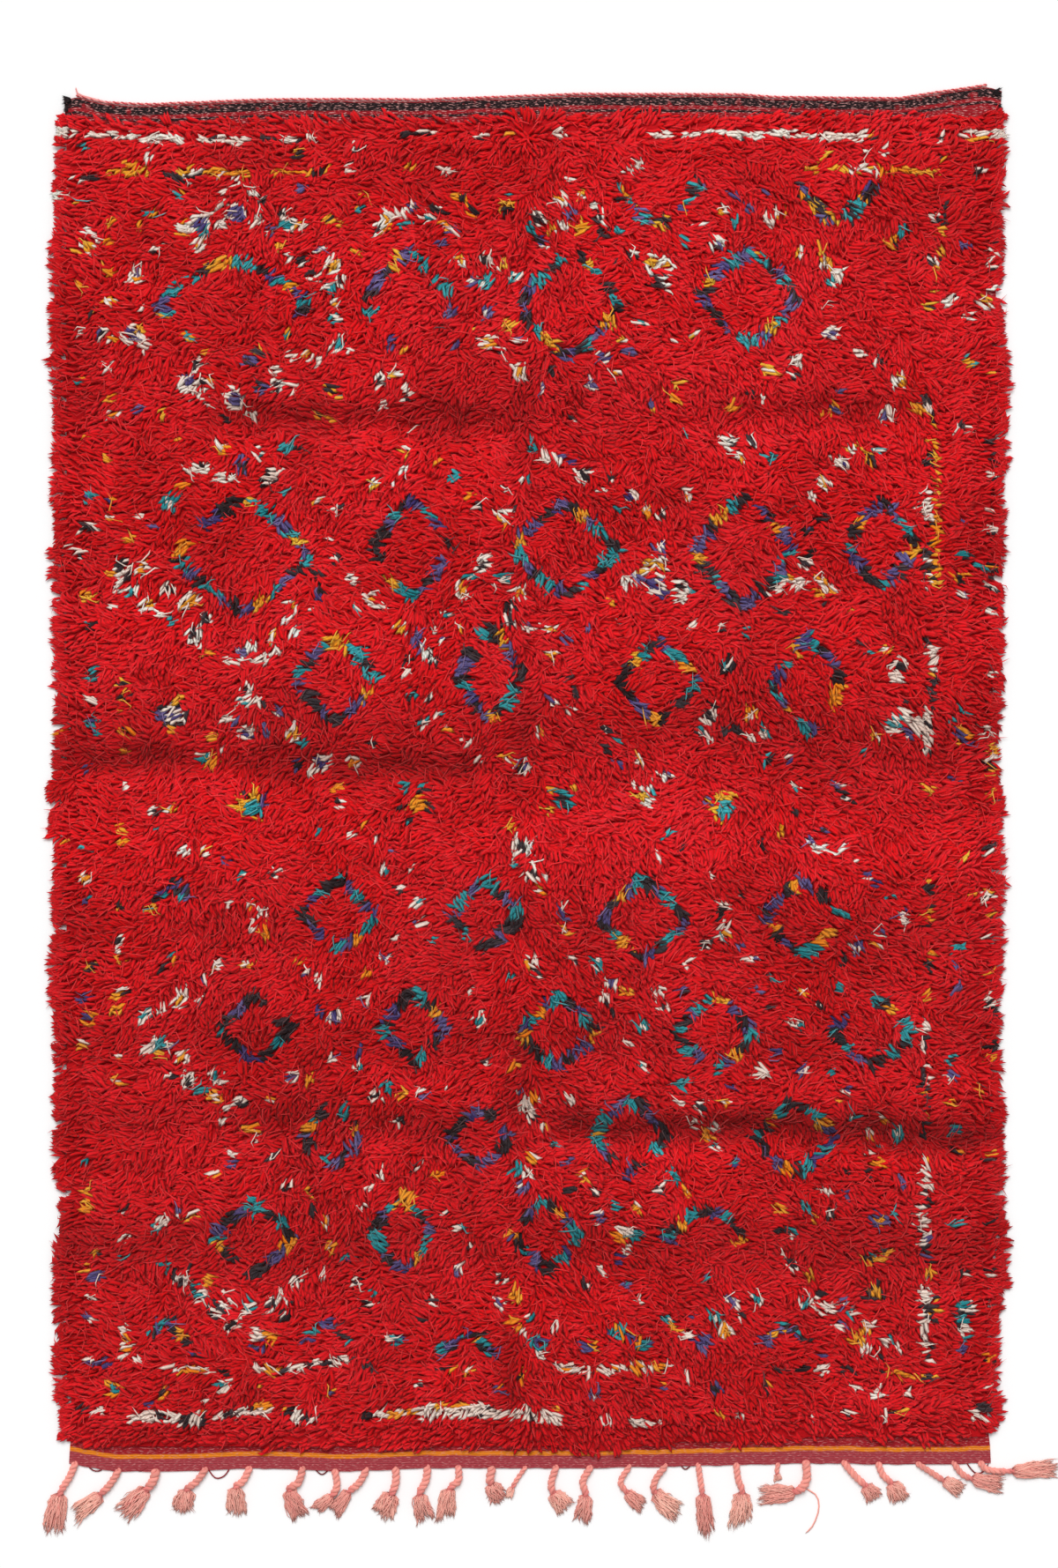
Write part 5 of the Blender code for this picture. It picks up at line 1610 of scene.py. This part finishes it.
        # Inside the rim a lock lies across its knot's place, so that the locks cover the pile evenly
        inner = smooth_step((np.minimum.reduce(sides) - 0.01) / 0.04)
        seen = (route[:, -3, :2] + 2 * route[:, -2, :2]) / 3
        route[:, :, :2] += ((np.stack([x, y], 1) - seen) * inner[:, None])[:, None]
        top = self.surface.top(route[:, :, 0], route[:, :, 1])
        top -= creases(route[:, :, 0], route[:, :, 1]).dip
        sunk = self.lie_depth * rng.uniform(0, 1, count)
        sunk += self.clump_depth * cell_draw(clump.column, clump.row, 75)
        room = np.clip((top - 0.006) / 0.012, 0.15, 1)
        lift = rng.uniform(-0.0006, 0.0006, (count, len(t)))
        route[:, :, 2] = top - (sunk[:, None] + np.array(kind.depth)[None] - lift) * room
        route[:, :, 2] = np.maximum(route[:, :, 2], self.surface.lowest)
        low, high = kind.width
        width = low * (high / low) ** rng.uniform(0, 1, count)
        width *= 1 - 0.15 * smooth_step((np.abs(x) - 0.88) / 0.08)
        radius = width[:, None] / 2 * np.array(kind.swell)[None]
        seen = (route[:, -3] + 2 * route[:, -2]) / 3
        # Painted shade darkens the roots, and the tips are lighter, partly worn wool and partly a painted
        # highlight that mixes in a pale pink
        worn = np.interp(t, (0.0, 0.5, 1.0), (0.86, 1.0, 1.16))[None, :, None]
        colour = np.clip(self.colours(seen, clump, kind.tone, rng)[:, None] * worn, 0, 0.96)
        painted_highlight = np.array(kind.painted_highlight)[None, :, None]
        colour = colour * (1 - painted_highlight) + linear(self.blush) * painted_highlight
        draw, roll = rng.uniform(0, 1, count), rng.uniform(-0.3, 0.3, count)
        return Strands(route, radius, colour, draw, kind.flat, roll)

    def colours(
        self, seen: np.ndarray, clump: Nearest, pale: float, rng: np.random.Generator
    ) -> np.ndarray:
        """Dyes each lock by the chart at the place where it shows, with painted light and shade over it.

        Args:
            seen: The middle of what shows of each lock.
            clump: Each lock's clump.
            pale: How far towards the dye's light tone the locks are.
            rng: The draw for each lock's own tone.

        Returns:
            A linear colour for each lock.
        """
        x, y = seen[:, 0], seen[:, 1]
        knots = self.chart.knots(x, y)
        deep = np.array([linear(DYES[yarn][0]) for yarn in YARNS])[knots]
        light = np.array([linear(DYES[yarn][1]) for yarn in YARNS])[knots]
        tone = pale + 0.5 * (cell_draw(clump.column, clump.row, 76) - 0.5) + rng.normal(0, 0.15, len(knots))
        tone = np.clip(tone + 0.25 * drift(x, y, 0.20, 77), 0, 1)[:, None]
        # Broad random swells of painted light and shade over the pile
        shade = 1.0
        for share, across, salt in ((0.12, 0.045, 78), (0.14, 0.16, 79), (0.11, 0.4, 80)):
            shade = shade + share * drift(x, y, across, salt)
        return (deep * (1 - tone) + light * tone) * (shade * creases(x, y).light)[:, None]

    def bed(self) -> bpy.types.Object:
        """Builds the bed of knots, a lumpy slab under the locks.

        Returns:
            The piece.
        """
        low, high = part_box("pile")
        bm = slab(72, 104)
        u, v, upper = slab_corners(bm)
        rough_y = low.y + v * (high.y - low.y)
        left = np.interp(rough_y, self.surface.ys, self.surface.left) + self.bed_inset
        right = np.interp(rough_y, self.surface.ys, self.surface.right) - self.bed_inset
        x = left + u * (right - left)
        foot = np.interp(x, self.surface.xs, self.surface.foot) + self.bed_inset
        head = np.interp(x, self.surface.xs, self.surface.head) - self.bed_inset
        y = foot + v * (head - foot)
        top = self.surface.top(x, y) - self.bed_depth - 0.6 * creases(x, y).dip
        z = np.where(upper, np.maximum(top, low.z + 0.002), low.z)
        mesh = finished_mesh(bm, "pile_bed", x, y, z)
        return piece("pile_bed", mesh, KnotBed().material(), "wool_pile", "pile")

    def build(self) -> list[bpy.types.Object]:
        """Builds the bed and the locks, in strips that each stay under a piece's share of faces.

        Returns:
            The pieces.
        """
        made = [self.bed()]
        material = PILE_WOOL.material()
        kinds = (("pile_strands", STRAND, self.strips), ("pile_hairs", STRAY, 1))
        for seed, (title, kind, strips) in enumerate(kinds, start=SEED + 10):
            locks = self.locks(kind, seed)
            order = np.argsort(locks.route[:, 0, 0], kind="stable")
            for number, chosen in enumerate(np.array_split(order, strips), start=1):
                name = f"{title}_{number}" if strips > 1 else title
                mesh = locks.part(np.sort(chosen)).mesh(name, 3)
                made.append(piece(name, mesh, material, "wool_pile", "pile"))
        return made


@dataclass
class WovenGround:
    """The flat-woven sheet that the pile is knotted on. It shows at the head and at the foot."""

    flat: tuple[float, float] = (1.95, 2.90)
    columns: int = 180
    end_rows: int = 7
    end_deep: float = 0.075
    ripple: float = 0.0012
    middle_rows: int = 8
    clear_side: float = 0.009

    def edge_of(self, node: str, pick: Callable[[Vector], bool]) -> np.ndarray:
        """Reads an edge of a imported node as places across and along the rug.

        Args:
            node: The node's name.
            pick: Says whether a corner of the node lies on that edge.

        Returns:
            The edge's corners, from left to right.
        """
        corners = [v.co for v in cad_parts[node].data.vertices if pick(v.co)]
        return np.array(sorted({(round(c.x, 5), round(c.y, 5)) for c in corners}))

    def foot_edge(self) -> np.ndarray:
        """The cloth's foot edge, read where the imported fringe's strip meets the cloth's top."""
        top, (low, high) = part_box("ground_cloth")[1].z, FOOT_EDGE
        return self.edge_of("warp_fringe", lambda c: abs(c.z - top) < 2e-4 and low < c.y < high)

    def build(self) -> bpy.types.Object:
        """Builds the sheet, thin and closed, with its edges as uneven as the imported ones.

        Returns:
            The piece.
        """
        low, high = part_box("ground_cloth")
        thick = high.z - low.z
        head = self.edge_of("ground_cloth", lambda c: c.y > high.y - 0.06)
        foot = self.foot_edge()
        ramps = (
            np.linspace(0, self.end_deep, self.end_rows),
            np.linspace(self.end_deep, 1 - self.end_deep, self.middle_rows + 2)[1:-1],
            np.linspace(1 - self.end_deep, 1, self.end_rows),
        )
        along = np.concatenate(ramps)
        bm = slab(self.columns, len(along) - 1)
        u, even, upper = slab_corners(bm)
        v = along[np.rint(even * (len(along) - 1)).astype(int)]
        left = np.interp(v, (0, 1), (foot[0, 0], head[0, 0]))
        right = np.interp(v, (0, 1), (foot[-1, 0], head[-1, 0]))
        x = left + u * (right - left)
        # Under the pile the sheet keeps clear of its sides
        inward = np.sign(0.5 - u) * self.clear_side
        x += inward * smooth_step(np.minimum(v, 1 - v) / 0.04) * smooth_step(np.abs(u - 0.5) * 8 - 3)
        foot_y = np.interp(x, foot[:, 0], foot[:, 1]) + self.ripple * drift(x, x * 0, 0.018, 81)
        head_y = np.interp(x, head[:, 0], head[:, 1]) + self.ripple * drift(x, x * 0, 0.022, 82)
        y = foot_y + v * (head_y - foot_y)
        z = np.where(upper, thick + 0.0006 * drift(x, y, 0.03, 83), 0.0)
        mesh = finished_mesh(bm, "woven_ground", x, y, z)
        cloth = mesh.attributes.new("cloth", "FLOAT_VECTOR", "POINT")
        values = np.stack([x, head_y - y, y - foot_y], 1)
        cloth.data.foreach_set("vector", values.astype(np.float32).ravel())
        nodes = ("ground_cloth", "warp_fringe")
        return piece("woven_ground", mesh, FlatWeave().material(), "ground_weave", *nodes)


class WarpEnd(NamedTuple):
    """A warp end, in millimetres: its root, knee, neck and tip as steps from it, and its widths."""

    root_x: float
    knee: tuple[float, float]
    neck: tuple[float, float]
    tip: tuple[float, float]
    cord_width: float
    tuft_width: float


WARP_ENDS = (
    WarpEnd(-958, (-11, -26), (-32, -65), (-46, -147), 14, 27),
    WarpEnd(-867, (-17, -27), (-39, -49), (-94, -95), 14, 23),
    WarpEnd(-787, (-6, -20), (-21, -39), (-72, -92), 17, 28),
    WarpEnd(-684, (-19, -25), (-39, -42), (-47, -88), 14, 26),
    WarpEnd(-590, (-13, -26), (-29, -41), (-25, -94), 14, 25),
    WarpEnd(-478, (-9, -27), (-28, -44), (-6, -96), 15, 25),
    WarpEnd(-409, (4, -30), (-8, -52), (-41, -81), 14, 16),
    WarpEnd(-344, (-15, -26), (-37, -46), (-69, -91), 14, 19),
    WarpEnd(-281, (0, -26), (-9, -53), (-28, -100), 15, 28),
    WarpEnd(-214, (-4, -27), (-17, -58), (-4, -115), 15, 26),
    WarpEnd(-149, (0, -26), (-19, -46), (-28, -109), 14, 24),
    WarpEnd(-78, (-4, -18), (-2, -34), (15, -70), 16, 24),
    WarpEnd(-9, (-15, -21), (-26, -41), (-35, -66), 9, 9),
    WarpEnd(56, (-9, -29), (-4, -53), (28, -90), 14, 25),
    WarpEnd(128, (-15, -28), (-8, -59), (-17, -115), 14, 21),
    WarpEnd(210, (-17, -30), (-2, -54), (32, -87), 12, 19),
    WarpEnd(286, (-20, -28), (-20, -56), (26, -96), 13, 25),
    WarpEnd(357, (4, -28), (9, -63), (19, -145), 12, 22),
    WarpEnd(437, (4, -30), (13, -61), (6, -130), 13, 27),
    WarpEnd(525, (-2, -10), (-2, -21), (0, -36), 9, 9),
    WarpEnd(584, (0, -36), (-26, -60), (-106, -68), 17, 24),
    WarpEnd(666, (22, -26), (45, -48), (67, -78), 14, 22),
    WarpEnd(737, (9, -22), (28, -41), (50, -78), 13, 24),
    WarpEnd(822, (28, -18), (54, -35), (97, -60), 12, 19),
    WarpEnd(897, (15, -20), (39, -32), (102, -45), 12, 22),
    WarpEnd(953, (15, -13), (70, -16), (156, -10), 13, 22),
)


class LooseThread(NamedTuple):
    """A thread that hangs from the foot edge: the places it passes, in centimetres, and its dye."""

    places: tuple[tuple[float, float], ...]
    dye: str


LOOSE_THREADS = (
    LooseThread(((57.8, -149.4), (60.6, -151.1), (61.1, -154.0), (59.9, -157.4), (58.2, -159.2)), "F4A294"),
    LooseThread(((-93.6, -144.2), (-92.0, -145.8), (-90.3, -145.8), (-89.1, -144.4)), "7E1420"),
    LooseThread(((-83.7, -144.6), (-82.0, -146.0), (-80.0, -144.8)), "7E1420"),
    LooseThread(((-67.9, -145.2), (-66.2, -147.4), (-64.3, -147.0), (-63.0, -145.2)), "8C1824"),
    LooseThread(((-45.6, -145.0), (-43.7, -146.7), (-41.8, -145.2)), "6A1018"),
    LooseThread(((31.6, -144.2), (33.0, -145.6), (34.6, -144.2)), "7E1420"),
    LooseThread(((92.1, -144.0), (94.0, -146.3), (95.8, -146.1), (97.0, -144.2)), "7E1420"),
)


def route_points(points: np.ndarray, t: np.ndarray) -> np.ndarray:
    """Reads a smooth curve through a few points.

    Args:
        points: The points, as rows of two coordinates.
        t: Places along the curve, counted in points.

    Returns:
        The curve's points.
    """
    i = np.clip(t.astype(int), 0, len(points) - 2)
    f = (t - i)[:, None]
    p0, p1 = points[np.maximum(i - 1, 0)], points[i]
    p2, p3 = points[i + 1], points[np.minimum(i + 2, len(points) - 1)]
    m1, m2 = (p2 - p0) / 2, (p3 - p1) / 2
    return (
        p1 * (2 * f**3 - 3 * f**2 + 1)
        + m1 * (f**3 - 2 * f**2 + f)
        + p2 * (3 * f**2 - 2 * f**3)
        + m2 * (f**3 - f**2)
    )


@dataclass
class WarpFringe:
    """The fringe: twisted cords of warp yarn that end in loose, splayed tufts."""

    foot_y: Callable[[float], float]
    plies: int = 2
    turn_long: float = 0.022
    rings: int = 26
    into_cloth: float = 0.0025
    fibres: int = 90
    ribbons: int = 26
    salmon: str = "F4A294"
    blush: str = "FFD0BC"
    rose: str = "CE5A60"
    # Metres of half width for each millimetre in the table
    cord_half: float = 0.00058
    tuft_half: float = 0.00062
    # Places along a warp end's route, counted in its points
    cord_stop: float = 3.12
    tuft_start: float = 1.9
    tuft_long: float = 1.16
    tip: float = 2.999
    thread_half: float = 0.0015
    thread_high: float = 0.0017

    def route(self, end: WarpEnd) -> np.ndarray:
        """The points that a warp end passes on the floor.

        Args:
            end: The warp end.

        Returns:
            Its root, knee, neck and tip.
        """
        root_x = end.root_x * MILLIMETRE
        root = np.array((root_x, self.foot_y(root_x)))
        steps = np.array(((0.0, 0.0), end.knee, end.neck, end.tip)) * MILLIMETRE
        return root + steps

    def cord(self, end: WarpEnd, rng: np.random.Generator) -> Strands:
        """Twists one cord from its plies, from inside the cloth's edge to its neck.

        Args:
            end: The warp end.
            rng: The draw for its phase.

        Returns:
            The plies.
        """
        points = self.route(end)
        inner = points[0] - (points[1] - points[0]) * 0.04 + np.array((0.0, self.into_cloth))
        points = np.concatenate([[inner], points])
        t = np.linspace(0.0, self.cord_stop, self.rings + 2)
        line = route_points(points, t)
        ahead = np.gradient(line, axis=0)
        ahead /= np.linalg.norm(ahead, axis=1)[:, None]
        across = np.stack([-ahead[:, 1], ahead[:, 0]], 1)
        run = np.concatenate([[0], np.linalg.norm(np.diff(line, axis=0), axis=1).cumsum()])
        half = end.cord_width * self.cord_half
        pinch = np.interp(t, (0.0, 0.6, 1.1, 2.7, self.cord_stop), (0.45, 0.7, 1.0, 1.0, 0.72))
        swing, thick = half * 0.48 * pinch, half * 0.56 * pinch
        low = swing * 0.55 + thick * 0.85 + 0.0002
        phase = rng.uniform(0, 2 * math.pi)
        routes = []
        for ply in range(self.plies):
            turn = phase + 2 * math.pi * (run / self.turn_long + ply / self.plies)
            spot = line + across * (np.cos(turn) * swing)[:, None]
            z = low + np.sin(turn) * swing * 0.55
            routes.append(np.concatenate([spot, z[:, None]], 1))
        radius = tapered(self.plies, len(t), thick)
        tone = rng.uniform(0.85, 1.05, self.plies)[:, None, None]
        along = np.interp(t, (0.0, 1.0, 2.4, self.cord_stop), (0.55, 0.2, 0.1, 0.8))[None, :, None]
        colour = (linear(self.salmon) * (1 - along) + linear(self.rose) * along) * tone
        colour = np.broadcast_to(colour, (self.plies, len(t), 3))
        return Strands(np.array(routes), radius, colour, rng.uniform(0, 1, self.plies), 0.85)

    def tuft(self, end: WarpEnd, rng: np.random.Generator) -> Strands:
        """Splays one tuft of loose fibres from the cord's neck.

        Args:
            end: The warp end.
            rng: The draw for its fibres.

        Returns:
            The fibres.
        """
        points = self.route(end)
        count = self.fibres if end.tuft_width > 12 else self.fibres // 3
        # The first few are broad and lie under the rest, so that the tuft is full
        broad = np.arange(count) < self.ribbons
        stations = np.array((0.0, 0.22, 0.5, 0.78, 1.0))
        lane = rng.uniform(-1, 1, count)
        lobe = rng.uniform(0.8, 1.05, 3)
        reach = rng.uniform(0.6, 1.12, count) * np.interp(lane, (-0.7, 0.0, 0.7), lobe)
        t = self.tuft_start + stations[None] * reach[:, None] * self.tuft_long
        line = route_points(points, np.minimum(t, self.tip).ravel()).reshape(count, len(stations), 2)
        over = np.maximum(t - self.tip, 0)[:, :, None]
        heading = points[3] - points[2]
        line = line + over * heading
        heading = heading / np.linalg.norm(heading)
        across = np.array((-heading[1], heading[0]))
        half = end.tuft_width * self.tuft_half
        splay = np.array((0.30, 0.72, 0.95, 1.15, 1.45)) * half
        wave = rng.uniform(-0.4, 0.4, (count, len(stations))) * half
        wave[:, 0] = 0
        spot = line + ((lane[:, None] * splay[None] + wave)[:, :, None]) * across
        rise = np.array((0.005, 0.009, 0.009, 0.006, 0.003))
        dome = np.sqrt(np.maximum(1 - lane**2 * 0.8, 0))
        lift = np.where(broad, 0.1, rng.uniform(0.25, 1.0, count))
        width = np.where(broad, 0.0030, rng.uniform(0.0012, 0.0022, count))
        z = 0.0004 + 0.7 * width[:, None] + rise[None] * (dome * lift)[:, None]
        route = np.concatenate([spot, z[:, :, None]], 2)
        radius = width[:, None] * np.array((0.0, 1.0, 1.0, 0.8, 0.0))[None]
        tone = np.clip(rng.normal(0.6, 0.2, count), 0, 1)[:, None, None]
        dark = np.array((0.7, 0.3, 0.08, 0.0, 0.0))[None, :, None]
        colour = linear(self.salmon) * (1 - tone) + linear(self.blush) * tone
        dark = np.maximum(dark, rng.uniform(0.0, 0.4))
        colour = colour * (1 - dark) + linear(self.rose) * dark
        return Strands(route, radius, colour, rng.uniform(0, 1, count), 0.6)

    def threads(self) -> Strands:
        """Lays the loose threads on the floor below the foot edge.

        Returns:
            The threads.
        """
        count, stations = len(LOOSE_THREADS), 10
        route = np.full((count, stations, 3), self.thread_high)
        for row, thread in zip(route, LOOSE_THREADS):
            places = np.array(thread.places) * CENTIMETRE
            row[:, :2] = route_points(places, np.linspace(0, len(places) - 1.001, stations))
        radius = tapered(count, stations, self.thread_half)
        colour = plain([thread.dye for thread in LOOSE_THREADS], stations)
        return Strands(route, radius, colour, np.linspace(0, 1, count))

    def build(self) -> list[bpy.types.Object]:
        """Builds the cords, the tufts and the loose threads.

        Returns:
            The three pieces.
        """
        rng = np.random.default_rng(SEED + 2)
        material = WARP_WOOL.material()
        made = []
        for name, sides, maker in (("warp_cords", 8, self.cord), ("warp_tufts", 3, self.tuft)):
            mesh = gathered([maker(end, rng) for end in WARP_ENDS]).mesh(name, sides)
            made.append(piece(name, mesh, material, "warp_yarn", "warp_fringe"))
        mesh = self.threads().mesh("loose_threads", 5)
        made.append(piece("loose_threads", mesh, material, "warp_yarn", "warp_fringe"))
        return made


def gathered(groups: Sequence[Strands]) -> Strands:
    """Joins groups of strands that have as many stations each.

    Args:
        groups: The groups.

    Returns:
        All their strands.
    """
    fields = ("route", "radius", "colour", "draw")
    joined = {name: np.concatenate([getattr(group, name) for group in groups]) for name in fields}
    return Strands(**joined, flat=groups[0].flat)


# Places along the loose end at the left corner, in centimetres
LOOSE_END = ((-95.6, 145.9), (-95.2, 144.6), (-93.6, 143.9), (-91.6, 143.3), (-89.0, 142.8), (-86.5, 142.5))


@dataclass
class HeadCord:
    """The edge cord along the head end, twined from a pink and a red yarn."""

    turn_long: float = 0.017
    step: float = 0.0024
    pink: str = "F2A09C"
    red: str = "CC4A50"
    loose_ends: int = 6
    loose_half: float = 0.0017

    def build(self) -> list[bpy.types.Object]:
        """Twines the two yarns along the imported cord's middle line, and frays one end.

        Returns:
            The cord and its loose end.
        """
        low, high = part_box("head_cord")
        radius = (high.z - low.z) / 2
        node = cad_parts["head_cord"].data
        spots = np.array([v.co[:] for v in node.vertices])
        places = np.unique(spots[:, 0].round(3))
        line_x = np.arange(low.x, high.x, self.step)
        middle = np.array([spots[np.abs(spots[:, 0] - p) < 0.004, 1].mean() for p in places])
        line_y = np.interp(line_x, places, middle)
        count = len(line_x)
        routes = []
        for ply in (0.0, 0.5):
            turn = 2 * math.pi * (line_x / self.turn_long + ply)
            wander = 0.0004 * drift(line_x, line_x * 0, 0.03, 91)
            y = line_y + np.cos(turn) * radius * 0.5 + wander
            z = radius + np.sin(turn) * radius * 0.42
            routes.append(np.stack([line_x, y, z], 1))
        thick, colour = tapered(2, count, radius * 0.56), plain((self.pink, self.red), count)
        strands = Strands(np.array(routes), thick, colour, np.array((0.2, 0.7)))
        material = EDGE_WOOL.material()
        cord = piece("edge_cord", strands.mesh("edge_cord", 6), material, "edge_cord", "head_cord")
        # Frayed ends of the pink yarn stand off the left corner and run back into the cord
        ends, count = self.loose_ends, len(LOOSE_END)
        rng = np.random.default_rng(SEED + 6)
        spots = np.array(LOOSE_END)[None] * CENTIMETRE + rng.uniform(-0.0016, 0.0016, (ends, count, 2))
        z = radius * rng.uniform(0.9, 1.5, (ends, count))
        route = np.concatenate([spots, z[:, :, None]], 2)
        thick, colour = tapered(ends, count, self.loose_half), plain([self.pink] * ends, count)
        loose = Strands(route, thick, colour, rng.uniform(0, 1, ends))
        end = piece("edge_yarn_end", loose.mesh("edge_yarn_end", 4), material, "edge_cord", "head_cord")
        return [cord, end]


@dataclass
class CornerTuft:
    """Loose yarn ends knotted at a corner of the head end."""

    node: str
    side: int
    second: tuple[float, float]
    strands: int = 40
    black: str = "2A2224"

    def build(self) -> bpy.types.Object:
        """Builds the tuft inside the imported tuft's box.

        Returns:
            The piece.
        """
        rng = np.random.default_rng(SEED + 3 + self.side)
        count = self.strands
        low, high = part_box(self.node)
        inner, outer = (low.x + 0.004, high.x) if self.side > 0 else (high.x - 0.004, low.x)
        start = np.stack([np.full(count, inner), rng.uniform(low.y + 0.008, high.y - 0.008, count)], 1)
        lane = rng.uniform(0, 1, count)
        end_x = outer - self.side * rng.uniform(0, 0.010, count)
        end = np.stack([end_x, low.y + lane * (high.y - low.y)], 1)
        t = np.array((0.0, 0.3, 0.65, 1.0))[None, :, None]
        spot = start[:, None] * (1 - t) + end[:, None] * t
        spot[:, 1:3] += rng.uniform(-0.0015, 0.0015, (count, 2, 2))
        lift = rng.uniform(0.001, 0.0035, count)[:, None] * np.array((0.9, 1.0, 0.9, 0.3))
        z = low.z + 0.0010 + lift
        route = np.concatenate([spot, z[:, :, None]], 2)
        radius = rng.uniform(0.0009, 0.0014, count)[:, None] * np.array((0.0, 1.0, 0.9, 0.0))
        colour = linear(self.black) * rng.uniform(0.7, 1.5, count)[:, None, None]
        # A third of the ends hang from a second knot, lower on the side
        second = np.arange(count) % 3 == 0
        route[second, :, :2] = route[second, :, :2] * 0.6 + route[second][:, :1, :2] * 0.4 + self.second
        colour = np.broadcast_to(colour, (count, 4, 3))
        mesh = Strands(route, radius, colour, rng.uniform(0, 1, count)).mesh(self.node, 3)
        return piece(self.node + "_ends", mesh, DARK_WOOL.material(), "dark_yarn", self.node)


@dataclass(frozen=True)
class Studio:
    """A plain white floor, soft light from the head end and a long lens straight above."""

    floor_side: float = 14.0
    floor_gap: float = 0.0006
    floor_tone: str = "FAFAFA"
    camera_high: float = 8.0
    sensor: float = 36.0
    sun_strength: float = 2.33
    sun_from: tuple[float, float, float] = (-0.15, 1.0, 1.25)
    sun_soft_deg: float = 36.0
    sky_strength: float = 0.48

    def build(self) -> None:
        """Sets the floor, the light and the camera."""
        self.floor()
        self.light()
        self.camera()

    def floor(self) -> None:
        """Lays the floor just under the rug."""
        bm = bmesh.new()
        bmesh.ops.create_grid(bm, x_segments=1, y_segments=1, size=self.floor_side / 2)
        bmesh.ops.translate(bm, vec=(0, 0, -self.floor_gap), verts=bm.verts)
        mesh = bpy.data.meshes.new("floor")
        bm.to_mesh(mesh)
        bm.free()
        material = bpy.data.materials.new("matt white floor")
        material.use_nodes = True
        shader = material.node_tree.nodes["Principled BSDF"]
        shader.inputs["Base Color"].default_value = rgba(self.floor_tone)
        shader.inputs["Roughness"].default_value = 1.0
        shader.inputs["Specular IOR Level"].default_value = 0.0
        mesh.materials.append(material)
        linked("floor", mesh)

    def light(self) -> None:
        """Lights the rug with a soft sun and a white sky."""
        sun = bpy.data.lights.new("soft_sun", "SUN")
        sun.energy = self.sun_strength
        sun.angle = math.radians(self.sun_soft_deg)
        lamp = linked("soft_sun", sun)
        lamp.rotation_euler = Vector(self.sun_from).to_track_quat("Z", "Y").to_euler()
        lamp.location = Vector(self.sun_from) * 4
        world = bpy.data.worlds.new("white_sky")
        world.use_nodes = True
        sky = world.node_tree.nodes["Background"]
        sky.inputs["Color"].default_value = (1.0, 1.0, 1.0, 1.0)
        sky.inputs["Strength"].default_value = self.sky_strength
        bpy.context.scene.world = world
        bpy.context.scene.view_settings.view_transform = "Standard"

    def camera(self) -> None:
        """Hangs the camera over the photograph's middle, with the photograph's frame."""
        middle_x = (PHOTO_SIZE[0] / 2 - ORIGIN_PIXEL[0]) * METRES_PER_PIXEL
        middle_y = (ORIGIN_PIXEL[1] - PHOTO_SIZE[1] / 2) * METRES_PER_PIXEL
        seen = PHOTO_SIZE[1] * METRES_PER_PIXEL
        lens = bpy.data.cameras.new("camera")
        lens.sensor_fit = "VERTICAL"
        lens.sensor_height = self.sensor
        lens.lens = self.sensor * self.camera_high / seen
        lens.clip_end = 100.0
        camera = linked("camera", lens)
        camera.location = (middle_x, middle_y, self.camera_high)
        bpy.context.scene.camera = camera


def main() -> None:
    """Builds the rug's pieces in order, then the studio."""
    logging.basicConfig(level=logging.INFO, format="%(name)s %(message)s")
    ground = WovenGround()
    sheet = ground.build()
    foot = ground.foot_edge()
    pile = ShagPile(PileSurface(), Chart()).build()
    fringe = WarpFringe(lambda x: float(np.interp(x, foot[:, 0], foot[:, 1]))).build()
    cord = HeadCord().build()
    tufts = [
        CornerTuft("corner_tuft_left", -1, (-0.006, -0.022)).build(),
        CornerTuft("corner_tuft_right", 1, (0.012, -0.034)).build(),
    ]
    Studio().build()


if __name__ == "__main__":
    main()
